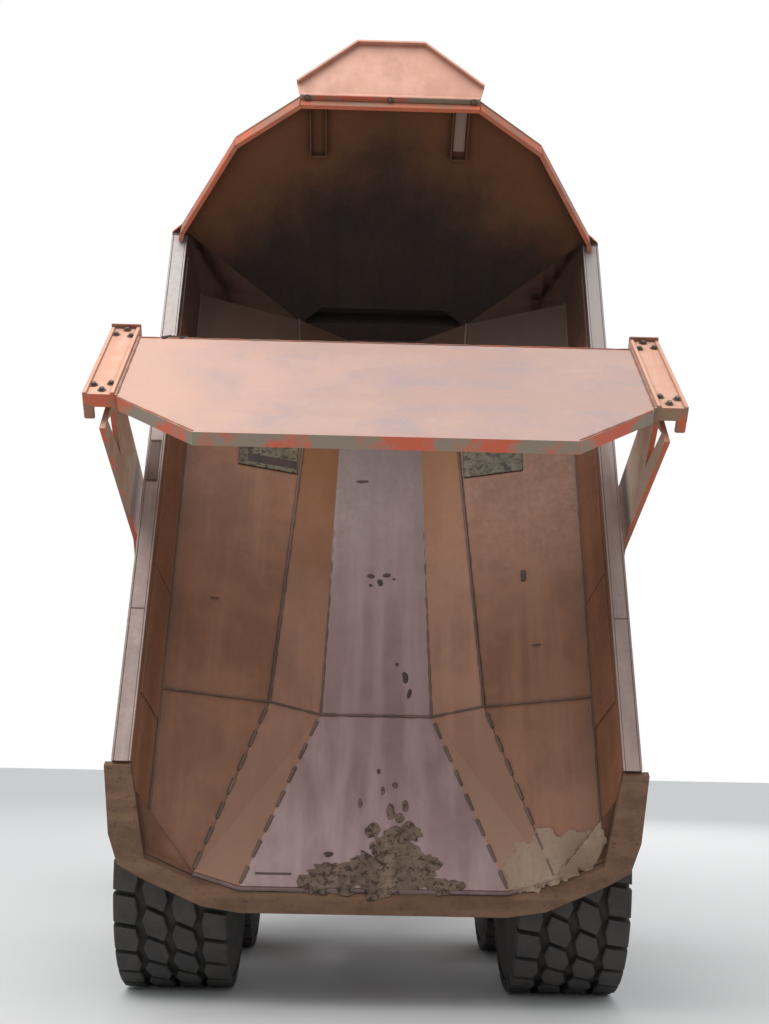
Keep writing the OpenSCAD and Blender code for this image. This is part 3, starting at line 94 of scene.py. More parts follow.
class Graph:
    """The node tree of a material or of the sky, in the making."""

    def __init__(self, owner: bpy.types.Material | bpy.types.World) -> None:
        """Start with an empty tree."""
        owner.use_nodes = True
        self.tree = owner.node_tree
        self.tree.nodes.clear()

    def add(self, kind: str, links: dict | None = None, out: int | str = 0, **settings) -> Socket | None:
        """Add a node.

        Args:
            kind: the node's type name without the leading "ShaderNode".
            links: socket name or number to the socket that feeds it, or to a plain value.
            out: name or number of the output that is wanted.
            settings: properties of the node.

        Returns:
            That output, or nothing for a node that has none.
        """
        node = self.tree.nodes.new("ShaderNode" + kind)
        for key, value in settings.items():
            setattr(node, key, value)
        for key, value in (links or {}).items():
            if isinstance(value, Socket):
                self.tree.links.new(value, node.inputs[key])
            else:
                node.inputs[key].default_value = value
        return node.outputs[out] if len(node.outputs) else None

    def over(self, mask: Socket, under: Colour, upper: Colour) -> Socket:
        """Lay one colour over another.

        Args:
            mask: how much of the new colour shows.
            under: the colour so far.
            upper: the new colour.

        Returns:
            The mixed colour.
        """
        return self.add("Mix", {0: mask, 6: under, 7: upper}, 2, data_type="RGBA")


def put(name: str, data: bpy.types.ID) -> bpy.types.Object:
    """Put an object into the scene.

    Args:
        name: the object's name.
        data: its mesh, lamp or camera.

    Returns:
        The new object.
    """
    obj = bpy.data.objects.new(name, data)
    bpy.context.scene.collection.objects.link(obj)
    return obj


class Frame(Enum):
    """Which lines a piece is shaped in, or a finish's streaks run along."""

    TRUCK = "truck"
    BED = "bed"
    GATE = "gate"
    WALL = "front wall"


@dataclass(frozen=True)
class TruckLines:
    """Where the truck's own lines stand, in metres from the rear axle.

    The numbers repeat those of the part's source.
    """

    dump_deg: float = 70.0
    hinge: tuple[float, float] = (-0.400, 1.600)
    hinge_on_bed: tuple[float, float] = (0.481, -1.169)
    gate_pivot: tuple[float, float] = (1.644, -0.889)
    gate_open_deg: float = 82.7
    tail_deg: float = 52.0
    wall_lean_deg: float = 15.0
    rail_len: float = 4.210

    def axle_y(self) -> float:
        """Give the rear axle's place along the row's Y axis."""
        low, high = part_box("rim_rear_left")
        return (low.y + high.y) / 2

    def bed(self) -> Matrix:
        """Give the matrix that puts the bed's own lines on the raised bed."""
        return (
            Matrix.Translation((0, self.axle_y() + self.hinge[0], self.hinge[1]))
            @ Matrix.Rotation(math.radians(self.dump_deg), 4, "X")
            @ Matrix.Translation((0, -self.hinge_on_bed[0], -self.hinge_on_bed[1]))
        )

    def gate(self) -> Matrix:
        """Give the matrix that puts the closed gate's lines where it hangs open."""
        pivot = Vector((0, *self.gate_pivot))
        return (
            self.bed()
            @ Matrix.Translation(pivot)
            @ Matrix.Rotation(math.radians(-self.gate_open_deg), 4, "X")
            @ Matrix.Translation(-pivot)
            @ Matrix.Rotation(math.radians(self.tail_deg), 4, "X")
        )

    def wall(self) -> Matrix:
        """Give the matrix of the leaning front wall: Z runs up its face, and minus Y to the load."""
        return (
            self.bed()
            @ Matrix.Translation((0, self.rail_len, 0))
            @ Matrix.Rotation(math.radians(-self.wall_lean_deg), 4, "X")
        )

    def of(self, lines: Frame) -> Matrix:
        """Give the matrix of the lines that a piece or a finish follows."""
        if lines is Frame.BED:
            return self.bed()
        if lines is Frame.GATE:
            return self.gate()
        if lines is Frame.WALL:
            return self.wall()
        return Matrix.Translation((0, self.axle_y(), 0))


LINES = TruckLines()


@dataclass(frozen=True)
class Finish:
    """What a surface is made of and painted with, and the record's slot that it stands for.

    Colours are sRGB hex values. Sizes are in metres, so that each pattern has the real one's scale.
    """

    name: str
    base: str
    slot: str = field(default="worn_steel", kw_only=True)

    def build(self) -> bpy.types.Material:
        """Make the material, which reads object coordinates."""
        mat = bpy.data.materials.new(self.name)
        graph = Graph(mat)
        graph.add("OutputMaterial", {"Surface": graph.add("BsdfPrincipled", self.links(graph))})
        return mat

    def links(self, graph: Graph) -> dict:
        """Give what feeds the shader, in the plainest case one even colour."""
        return {"Base Color": linear(self.base), "Roughness": 0.9}


@dataclass(frozen=True)
class Weathered(Finish):
    """A surface with blotches, streaks and chips, with a grime colour laid into its corners, which is painted shade
    where it darkens.

    It may turn into other colours along an axis of its lines, as where a load has scoured it, and keep the darker
    colour towards its middle as painted shade.
    Faces that look away from the plate's own broad side may have a ground and a patch colour of
    their own, and so may those on the bed's outside.
    """

    blotch: str
    streak: str
    chip: str
    # Laid into corners and creases as painted shade and dust, and along the outside's streaks as grime
    grime_and_corner_shade: str = "#4d3b2f"
    blotch_size: float = 0.5
    blotch_share: float = 0.5
    streak_share: float = 0.3
    chip_share: float = 0.2
    fades: tuple[tuple[str, float, float], ...] = ()
    fade_axis: int = 1
    middle_shade_spread: float = 0.0
    edge: tuple[str, str] | None = None
    flank: tuple[str, str] | None = None
    face: int = 2
    outside: tuple[str, str] | None = None
    underside: bool = True
    corner_shade_and_grime_share: float = 0.6
    rough: float = 0.6
    metal: float = 0.0
    bump: float = 0.3
    dents: float = 0.0
    lines: Frame = Frame.TRUCK
    along: int = 1

    def links(self, graph: Graph) -> dict:
        """Give what feeds the shader: the layers of colour, the shine and the relief."""
        add = graph.add
        coords, normal = (add("TexCoord", out=name) for name in ("Object", "Normal"))
        turn = LINES.of(self.lines).inverted()
        moves = {"Vector": coords, "Location": turn.to_translation(), "Rotation": turn.to_euler()}
        place = add("Mapping", moves, vector_type="POINT")
        # Streaks are about 15 cm wide and 2 m long, and grit is about 4 cm across, coarse enough to show
        stretch = [6.5, 6.5, 6.5]
        stretch[self.along] = 0.45
        lanes = add("Mapping", {"Vector": place, "Scale": stretch})
        blotch, streak, grit = (
            add("TexNoise", {"Vector": on, "Scale": scale, "Detail": detail, "Roughness": rough})
            for on, scale, detail, rough in (
                (place, 1 / self.blotch_size, 9.0, 0.66), (lanes, 1.0, 4.0, 0.55), (place, 24.0, 11.0, 0.78),
            )
        )
        colour: Colour = linear(self.base)
        for fac, share, width, code in (
            (blotch, self.blotch_share, 0.14, self.blotch),
            (streak, self.streak_share, 0.16, self.streak),
            (grit, self.chip_share, 0.04, self.chip),
        ):
            middle = 0.68 - 0.36 * share
            reach = {"Value": fac, "From Min": middle - width, "From Max": middle + width}
            colour = graph.over(add("MapRange", reach, interpolation_type="SMOOTHSTEP"), colour, linear(code))
        if self.fades:
            colour = self.faded(graph, place, blotch, colour)
        colour = self.turned_faces(graph, normal, blotch, colour)
        if self.outside:
            mask = self.outer_faces(graph, coords, normal)
            colour = graph.over(mask, colour, self.outer_paint(graph, blotch, streak))
        # Ambient occlusion lays the grime colour into corners and creases: painted shade where that colour is darker
        # than the surface, dust where it is paler
        occlusion = add("AmbientOcclusion", {"Distance": 0.12}, "AO", samples=6)
        reach = {"Value": occlusion, "From Min": 0.35, "From Max": 0.95, "To Min": self.corner_shade_and_grime_share, "To Max": 0.0}
        colour = graph.over(add("MapRange", reach), colour, linear(self.grime_and_corner_shade))
        reach = {"To Min": self.rough - 0.12, "To Max": min(1.0, self.rough + 0.15)}
        shine = add("MapRange", {"Value": grit, "From Min": 0.3, "From Max": 0.7, **reach})
        relief = self.relief(graph, place, grit, streak)
        return {"Base Color": colour, "Roughness": shine, "Metallic": self.metal, "Normal": relief}

    def faded(self, graph: Graph, place: Socket, patches: Socket, under: Colour) -> Colour:
        """Turn the finish into its other colours, with a ragged border.

        Args:
            graph: the material in the making.
            place: the place in the finish's lines.
            patches: the noise that makes the border ragged.
            under: the colour so far.

        Returns:
            The colour with the others laid over it.
        """
        add = graph.add
        x, way = (add("SeparateXYZ", {"Vector": place}, axis) for axis in (0, self.fade_axis))
        wander = add("Math", {0: patches, 1: 1.0, 2: -0.5}, operation="MULTIPLY_ADD")
        ragged = add("Math", {0: way, 1: wander}, operation="ADD")
        # Towards the sides the colours come sooner, so the middle keeps the darker colour as painted shade
        aside = add("Math", {0: x}, operation="ABSOLUTE")
        ragged = add("Math", {0: aside, 1: self.middle_shade_spread, 2: ragged}, operation="MULTIPLY_ADD")
        for code, start, end in self.fades:
            reach = {"Value": ragged, "From Min": start, "From Max": end, "To Max": 0.85}
            under = graph.over(add("MapRange", reach, interpolation_type="SMOOTHSTEP"), under, linear(code))
        return under

    def relief(self, graph: Graph, place: Socket, grit: Socket, streak: Socket) -> Socket:
        """Roughen the surface, and dent it where the finish has dents.

        Args:
            graph: the material in the making.
            place: the place in the finish's lines.
            grit: the fine noise.
            streak: the noise of the streaks.

        Returns:
            The bumped normal.
        """
        height = graph.add("Math", {0: grit, 1: streak}, operation="ADD")
        fine = graph.add("Bump", {"Strength": self.bump, "Distance": 0.004, "Height": height})
        if not self.dents:
            return fine
        # Dents are about 30 cm across
        wave = graph.add("TexNoise", {"Vector": place, "Scale": 3.2, "Detail": 2.0, "Roughness": 0.4})
        return graph.add("Bump", {"Strength": self.dents, "Distance": 0.05, "Height": wave, "Normal": fine})

    def outer_faces(self, graph: Graph, coords: Socket, normal: Socket) -> Socket:
        """Mask the faces of the bed that look outwards, ahead or, if the underside counts, down.

        Args:
            graph: the material in the making.
            coords: the place on the piece.
            normal: the surface's normal in the piece's own lines.

        Returns:
            One on the bed's outside, and nought in its load space.
        """
        add, turn = graph.add, LINES.bed().to_3x3()
        x, lean = (add("SeparateXYZ", {"Vector": of}) for of in (coords, normal))
        away = add("Math", {0: x, 1: lean}, operation="MULTIPLY")
        down, most = (
            add("VectorMath", {0: normal, 1: way}, "Value", operation="DOT_PRODUCT")
            for way in (-turn.col[2], turn.col[1])
        )
        start = 0.55
        if self.underside:
            start, most = 0.15, add("Math", {0: down, 1: most}, operation="MAXIMUM")
        most = add("Math", {0: most, 1: away}, operation="MAXIMUM")
        return add("MapRange", {"Value": most, "From Min": start, "From Max": start + 0.2})

    def outer_paint(self, graph: Graph, patches: Socket, runs: Socket) -> Socket:
        """Mix the outside's enamel with runs of grime.

        Args:
            graph: the material in the making.
            patches: the noise that parts ground from patch.
            runs: the noise of the streaks.

        Returns:
            The colour of the outside.
        """
        spots = graph.add("MapRange", {"Value": patches, "From Min": 0.44, "From Max": 0.64})
        mixed = graph.over(spots, *map(linear, self.outside))
        lines = graph.add("MapRange", {"Value": runs, "From Min": 0.5, "From Max": 0.75, "To Max": 0.5})
        return graph.over(lines, mixed, linear(self.grime_and_corner_shade))

    def turned_faces(self, graph: Graph, normal: Socket, patches: Socket, under: Colour) -> Colour:
        """Colour the edges and flanks of a plate.

        Args:
            graph: the material in the making.
            normal: the surface's normal in the piece's own lines.
            patches: the noise that parts ground from patch.
            under: the colour of the broad face.

        Returns:
            The colour with edges and flanks laid over it.
        """
        add = graph.add
        for pair, axis, start, end in ((self.edge, self.face, 0.85, 0.6), (self.flank, 0, 0.75, 0.9)):
            if pair is None:
                continue
            way = LINES.of(self.lines).to_3x3().col[axis]
            lean = add("VectorMath", {0: normal, 1: way}, "Value", operation="DOT_PRODUCT")
            size = add("Math", {0: lean}, operation="ABSOLUTE")
            mask = add("MapRange", {"Value": size, "From Min": start, "From Max": end})
            spots = add("MapRange", {"Value": patches, "From Min": 0.47, "From Max": 0.55})
            under = graph.over(mask, under, graph.over(spots, *map(linear, pair)))
        return under


@dataclass(frozen=True)
class Plain(Finish):
    """A smooth finish, such as glass, chrome or a lamp's lens."""

    rough: float
    metal: float = 0.0
    see_through: float = 0.0

    def links(self, graph: Graph) -> dict:
        """Give what feeds the shader, with a light smear of dust."""
        coords = graph.add("TexCoord", out="Object")
        smear = graph.add("TexNoise", {"Vector": coords, "Scale": 3.0, "Detail": 6.0})
        reach = {"To Min": self.rough, "To Max": min(1.0, self.rough + 0.25)}
        shine = graph.add("MapRange", {"Value": smear, **reach})
        glass = {"Transmission Weight": self.see_through, "IOR": 1.45} if self.see_through else {}
        return {"Base Color": linear(self.base), "Roughness": shine, "Metallic": self.metal, **glass}


@dataclass(frozen=True)
class Cloth(Finish):
    """Woven seat cloth over foam."""

    thread: str
    pitch: float = 0.006

    def links(self, graph: Graph) -> dict:
        """Give what feeds the shader. The weave is coarser than the real one, so that it shows."""
        coords = graph.add("TexCoord", out="Object")
        weave = graph.add("TexChecker", {"Vector": coords, "Scale": 1 / self.pitch}, "Fac")
        worn = graph.add("TexNoise", {"Vector": coords, "Scale": 9.0, "Detail": 6.0})
        mask = graph.add("Math", {0: weave, 1: worn}, operation="MULTIPLY")
        colour = graph.over(mask, linear(self.base), linear(self.thread))
        relief = graph.add("Bump", {"Strength": 0.4, "Distance": 0.001, "Height": weave})
        return {"Base Color": colour, "Roughness": 0.9, "Normal": relief}


# Orange machine enamel, sun-bleached and rubbed by stones: pale salmon with lilac-grey worn bands
GATE_ENAMEL = Weathered(
    "bleached_gate_enamel", "#bd9b8e", "#a99391", "#b79588", "#c9aa9c", lines=Frame.GATE, along=0,
    blotch_share=0.45, chip_share=0.1, fades=(("#c99f8b", -0.5, -1.5),), fade_axis=0, edge=("#857867", "#c0573b"),
    dents=0.25, rough=0.55, slot="faded_paint",
)
GUARD_ENAMEL = Weathered(
    "bleached_guard_enamel", "#cf9f8a", "#c4917c", "#bd8b78", "#a87c6b", lines=Frame.WALL, along=2,
    chip_share=0.1, flank=("#b4623f", "#a3553a"), grime_and_corner_shade="#7a4632", rough=0.55,
)
ARCH_ENAMEL = Weathered(
    "salmon_arch_enamel", "#b96e50", "#b75a3c", "#9c6048", "#7c4a38", lines=Frame.WALL, along=0, chip_share=0.15,
    slot="faded_paint",
)
ARM_ENAMEL = Weathered(
    "bleached_arm_enamel", "#dbab93", "#cf9a80", "#c9937a", "#b98a74", lines=Frame.GATE, along=1,
    streak_share=0.2, chip_share=0.15, edge=("#b4583a", "#8a6a54"), flank=("#c9b39d", "#c59e86"), blotch_size=0.3,
    slot="orange_paint",
)
FADED_ENAMEL = Weathered(
    "bleached_enamel", "#c07050", "#b0684c", "#b87c62", "#93604c", chip_share=0.08, streak_share=0.2,
)
# The same enamel, redder where it had shade, under grey-green dried mud
ORANGE_ENAMEL = Weathered(
    "muddy_orange_enamel", "#b4532f", "#7e6a5a", "#8a5d49", "#70685a", lines=Frame.GATE, along=1,
    blotch_share=0.45, slot="orange_paint",
)
WHEEL_ENAMEL = Weathered(
    "muddy_wheel_enamel", "#9a5238", "#6a5748", "#8a5d49", "#5a5043", grime_and_corner_shade="#3a322b", blotch_size=0.25,
    chip_share=0.3, rough=0.7,
)
CAB_ENAMEL = Weathered(
    "orange_cab_enamel", "#b85a36", "#a8502f", "#a5654a", "#7c4a38", chip_share=0.05, streak_share=0.18,
)
# Wear plate of the bed, scoured bright in its middle and rusted where nothing slides; it turns near black towards the
# front wall, as painted shade deep in the tipped bed
SIDE_PLATE = Weathered(
    "rusted_side_plate", "#86593f", "#734c36", "#8d6248", "#5f4030", lines=Frame.BED,
    fades=(("#33221a", 2.7, 3.6),), outside=("#b5613f", "#9a5b42"), chip_share=0.05, streak_share=0.2, rough=0.55,
)
# The panel, strip and floor plates also turn near black towards the front wall, as painted shade deep in the tipped
# bed
PANEL_PLATE = Weathered(
    "rose_brown_panel_plate", "#96614a", "#865642", "#9d6d56", "#5e3d2f", lines=Frame.BED, along=0,
    chip_share=0.04, fades=(("#30201a", 2.7, 3.5),), streak_share=0.22, dents=0.2, rough=0.5,
)
STRIP_PLATE = Weathered(
    "ochre_strip_plate", "#9a7059", "#8a6350", "#a47860", "#54392b", lines=Frame.BED, chip_share=0.05,
    streak_share=0.2, fades=(("#84552f", 1.2, 2.8), ("#2c1c17", 2.9, 3.7), ("#84604b", 0.8, 0.2)), dents=0.2,
    rough=0.5,
)
FLOOR_PLATE = Weathered(
    "scoured_floor_plate", "#8a706e", "#7c6361", "#97807d", "#5e4a47", lines=Frame.BED, chip_share=0.05,
    streak_share=0.35, fades=(("#6c5853", 1.0, 3.0), ("#2a1d19", 3.1, 3.8)), dents=0.2, rough=0.42,
)
# Bare floor under the wear plates, seen only in the gaps between them and from below
SEAM_PLATE = Weathered(
    "dark_seam_plate", "#3b2b24", "#4a372d", "#33251f", "#5a4436", lines=Frame.BED, chip_share=0.1,
    outside=("#8a5640", "#6a4c3c"),
)
RAIL_PLATE = Weathered(
    "silver_rail_plate", "#9a857d", "#87736c", "#a6968f", "#7a6257", lines=Frame.BED,
    fades=(("#9f9793", 2.2, 3.8),), chip_share=0.1, rough=0.45, metal=0.2,
)
RIM_PLATE = Weathered(
    "ochre_rim_plate", "#70503a", "#5c3f2b", "#7e5d44", "#4a3426", lines=Frame.BED, along=0, streak_share=0.25,
    chip_share=0.22, blotch_size=0.18,
)
# The headboard stays near black low in its middle and turns rust orange towards its top and outer corners: rusted
# steel with painted shade deep in the tipped bed
WALL_PLATE = Weathered(
    "dark_headboard_plate", "#23130c", "#2b1b11", "#1c100b", "#3a271d", grime_and_corner_shade="#2a1a12", lines=Frame.WALL, along=2,
    streak_share=0.1, chip_share=0.03, fades=(("#6e4325", 0.3, 1.45),), fade_axis=2, middle_shade_spread=0.65, dents=0.2,
    rough=0.9, outside=("#b5613f", "#9a5b42"), underside=False,
)
# Bare tail edge, bright where stones have hit it
TAIL_EDGE = Weathered(
    "bright_tail_edge", "#a08876", "#96765f", "#ab9483", "#7d5f4c", lines=Frame.BED, along=0, chip_share=0.2,
)
WELD = Weathered("rusty_weld_bead", "#5e4a40", "#4c3a32", "#72594a", "#84705f", lines=Frame.BED, bump=0.8)
# Caked clay, grey-brown and crusted where the load left, tan where it dried smooth
MUD = Weathered(
    "crusted_grey_mud", "#6e5b4e", "#5c4b3d", "#7d6a57", "#3c2f25", lines=Frame.BED, rough=0.95, bump=1.0,
    corner_shade_and_grime_share=0.2, blotch_size=0.12, chip_share=0.42,
)
DRY_MUD = Weathered(
    "dried_tan_mud", "#8f7966", "#836d5b", "#99836e", "#6c5745", lines=Frame.BED, rough=0.95, bump=0.8,
    corner_shade_and_grime_share=0.2, chip_share=0.15,
)
PATCH = Weathered(
    "mossy_patch_plate", "#5f5741", "#4c4333", "#6f6550", "#2c241c", lines=Frame.BED, blotch_size=0.08,
    chip_share=0.4,
)
# Dark scuff marks, and the same dark colour in the patches' holes and in the thin slots, where it is painted shade
SCUFF_AND_OPENING_SHADE = Weathered("dark_scuffed_steel", "#3a2923", "#4b332a", "#2e211c", "#5a4036", lines=Frame.BED)
CHASSIS = Weathered("dusty_chassis_enamel", "#35332f", "#45403a", "#4e473e", "#5a5043", chip_share=0.1)
# Natural rubber with carbon black, greyed by road dust
# Its tread grooves get the strongest painted shade
TYRE = Weathered(
    "dusty_tyre_rubber", "#343231", "#3f3c3a", "#413e3b", "#4d4843", grime_and_corner_shade="#1f1c1a", corner_shade_and_grime_share=0.75, rough=0.85,
    slot="tyre_rubber",
)
STEEL = Weathered("greased_steel", "#56524e", "#4a4642", "#605a54", "#6b645c", metal=0.6, rough=0.5)
BOLT = Weathered(
    "zinc_bolt", "#6f6862", "#5c554f", "#7a7067", "#4a423b", metal=0.7, rough=0.45, corner_shade_and_grime_share=0.4,
    slot="bare_steel",
)
TRIM = Weathered(
    "textured_black_plastic", "#2a2a2b", "#303030", "#343333", "#3a3937", rough=0.7, corner_shade_and_grime_share=0.3,
    slot="black_trim",
)
RUBBER = Weathered(
    "torn_black_rubber", "#1d1c1b", "#262423", "#2b2826", "#33302d", rough=0.8, corner_shade_and_grime_share=0.2, slot="black_trim",
)
LABEL = Plain("blank_pale_label", "#8c7468", 0.5, slot="faded_paint")
CHROME = Plain("chromed_rod", "#c4c4c6", 0.12, metal=1.0)
MIRROR = Plain("silvered_mirror_glass", "#d8dadc", 0.04, metal=1.0, slot="window_glass")
GLASS = Plain("tinted_window_glass", "#c2ccd0", 0.03, see_through=0.9)
CLEAR_LENS = Plain("clear_lamp_lens", "#e6e6e2", 0.1)
RED_LENS = Plain("red_lamp_lens", "#8c1410", 0.15)
SEAT_CLOTH = Cloth("charcoal_seat_cloth", "#2b2c2f", "#3c3e42", slot="black_trim")

STUDIO_FLOOR = Finish("pale_floor", "#d9d9d7")
# Angles in degrees under which neighbouring faces are shaded as one
CRISP, EASED, LUMPY = 25.0, 30.0, 60.0
# The body that a piece rides on where nothing else is said
BODIES = {Frame.TRUCK: "front_frame", Frame.BED: "bed", Frame.GATE: "tailgate", Frame.WALL: "bed"}

SLOT_FINISH = {
    "faded_paint": FADED_ENAMEL,
    "orange_paint": CAB_ENAMEL,
    "worn_steel": SIDE_PLATE,
    "chassis_paint": CHASSIS,
    "bare_steel": STEEL,
    "rod_chrome": CHROME,
    "tyre_rubber": TYRE,
    "window_glass": GLASS,
    "lamp_lens": CLEAR_LENS,
    "tail_lens": RED_LENS,
    "black_trim": TRIM,
}
NODE_FINISH = {
    "gate_plate": GATE_ENAMEL,
    "gate_arms": ARM_ENAMEL,
    "spill_guard": GUARD_ENAMEL,
    "bed_floor": SEAM_PLATE,
    "bed_rim": RIM_PLATE,
    "bed_front": WALL_PLATE,
}


class Paintshop:
    """Hands out each finish once, as a material."""

    def __init__(self) -> None:
        """Start with no material made."""
        self.made: dict[str, bpy.types.Material] = {}

    def get(self, finish: Finish) -> bpy.types.Material:
        """Give a finish's material, and make it the first time."""
        if finish.name not in self.made:
            self.made[finish.name] = finish.build()
        return self.made[finish.name]

    def paint(self, obj: bpy.types.Object, finish: Finish) -> None:
        """Give an object one finish all over."""
        obj.data.materials.clear()
        obj.data.materials.append(self.get(finish))


class Blank:
    """A mesh in the making, with the few forms that this truck's fittings need."""

    def __init__(self, lines: Frame = Frame.TRUCK) -> None:
        """Start empty.

        Args:
            lines: the lines that the blank's coordinates are counted in.
        """
        self.bm = bmesh.new()
        self.lines = lines

    def bar(self, low: tuple, high: tuple, chamfer: float = 0.0, tilt: Matrix | None = None) -> list:
        """Add a box-shaped bar between two corners.

        Args:
            low: its lowest corner.
            high: its highest corner.
            chamfer: width of the bevel on its edges.
            tilt: a matrix that places it after it is shaped.

        Returns:
            Its vertices.
        """
        a, b = Vector(low), Vector(high)
        spread = Matrix.Translation((a + b) / 2) @ Matrix.Diagonal((*(b - a), 1))
        verts = bmesh.ops.create_cube(self.bm, size=1.0, matrix=spread)["verts"]
        if chamfer:
            edges = list({e for v in verts for e in v.link_edges})
            how = {"offset_type": "OFFSET", "affect": "EDGES", "segments": 1, "profile": 0.5, "material": -1}
            cut = bmesh.ops.bevel(self.bm, geom=edges, offset=chamfer, **how)
            verts = list({v for f in cut["faces"] for v in f.verts} | {v for v in verts if v.is_valid})
        if tilt is not None:
            bmesh.ops.transform(self.bm, matrix=tilt, verts=verts)
        return verts

    def rod(self, start: tuple, end: tuple, radius: float, sides: int, end_radius: float) -> None:
        """Add a round or many-sided rod between two points.

        Args:
            start: the middle of one end.
            end: the middle of the other.
            radius: its radius at the start.
            sides: how many sides it has.
            end_radius: its radius at the end.
        """
        a, b = Vector(start), Vector(end)
        turn = (b - a).to_track_quat("Z", "Y").to_matrix().to_4x4()
        size = {"radius1": radius, "radius2": end_radius, "depth": (b - a).length}
        place = Matrix.Translation((a + b) / 2) @ turn
        bmesh.ops.create_cone(self.bm, cap_ends=True, segments=sides, matrix=place, **size)

    def bead(self, start: tuple, end: tuple, radius: float, pitch: float = 0.045) -> None:
        """Add a weld bead, a thin run whose thickness wanders.

        Args:
            start: its first point.
            end: its last point.
            radius: its mean radius.
            pitch: the length between two rings.
        """
        a, b = Vector(start), Vector(end)
        count = max(2, int((b - a).length / pitch))
        step = (b - a) / count
        turn = step.to_track_quat("Z", "Y").to_matrix().to_4x4()
        place = Matrix.Translation(a) @ turn
        verts = bmesh.ops.create_circle(self.bm, cap_ends=True, segments=6, radius=radius, matrix=place)["verts"]
        centre = a.copy()
        for i in range(count):
            edges = [e for e in {e for v in verts for e in v.link_edges} if all(v in verts for v in e.verts)]
            grown = bmesh.ops.extrude_edge_only(self.bm, edges=edges)
            verts = [g for g in grown["geom"] if isinstance(g, bmesh.types.BMVert)]
            bmesh.ops.translate(self.bm, verts=verts, vec=step)
            centre += step
            # Two waves of unlike length keep the bead from looking turned
            swell = 1.0 + 0.22 * math.sin(2.1 * i) + 0.1 * math.sin(5.3 * i + 1.0)
            now = (verts[0].co - centre).length
            for v in verts:
                v.co = centre + (v.co - centre) * (radius * swell / now)
        bmesh.ops.contextual_create(self.bm, geom=verts)

    def span(self, side: int, near: tuple, far: tuple, chamfer: float = 0.0) -> None:
        """Add a bar between two corners that are given for the right-hand side.

        Args:
            side: minus one to mirror it to the left.
            near: its lowest corner.
            far: its highest corner.
            chamfer: width of the bevel on its edges.
        """
        a, b = sorted((side * near[0], side * far[0]))
        self.bar((a, *near[1:]), (b, *far[1:]), chamfer)

    def bolt(self, at: tuple, out: tuple, across: float) -> None:
        """Add a bolt's washer and hexagon head.

        Args:
            at: the point where it sits.
            out: the direction that its head points in.
            across: the head's width.
        """
        place, way = Vector(at), Vector(out).normalized()
        washer = 0.85 * across
        self.rod(place - 0.004 * way, place + 0.12 * across * way, washer, 14, washer)
        self.rod(place, place + 0.62 * across * way, 0.577 * across, 6, 0.54 * across)


@dataclass
class Workshop:
    """Turns finished blanks into pieces that ride on a body."""

    shop: Paintshop
    count: int = 0

    def hand_over(
        self, blank: Blank, name: str, finish: Finish, smooth_deg: float = CRISP, body: str = ""
    ) -> bpy.types.Object:
        """Make a piece from a blank.

        Args:
            blank: the shaped mesh.
            name: the piece's name.
            finish: its finish, which also names the record's slot.
            smooth_deg: faces that meet at less than this angle are shaded as one.
            body: the body that it rides on, if it isn't the one that its lines belong to.

        Returns:
            The new object.
        """
        bm = blank.bm
        bmesh.ops.remove_doubles(bm, verts=bm.verts, dist=1e-6)
        bmesh.ops.recalc_face_normals(bm, faces=bm.faces)
        bmesh.ops.transform(bm, matrix=LINES.of(blank.lines), verts=bm.verts)
        mesh = bpy.data.meshes.new(name)
        bm.to_mesh(mesh)
        bm.free()
        for face in mesh.polygons:
            face.use_smooth = True
        mesh.set_sharp_from_angle(angle=math.radians(smooth_deg))
        obj = put(name, mesh)
        self.shop.paint(obj, finish)
        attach(obj, body or BODIES[blank.lines])
        self.count += 1
        LOG.info("%s: %d faces", name, len(mesh.polygons))
        return obj


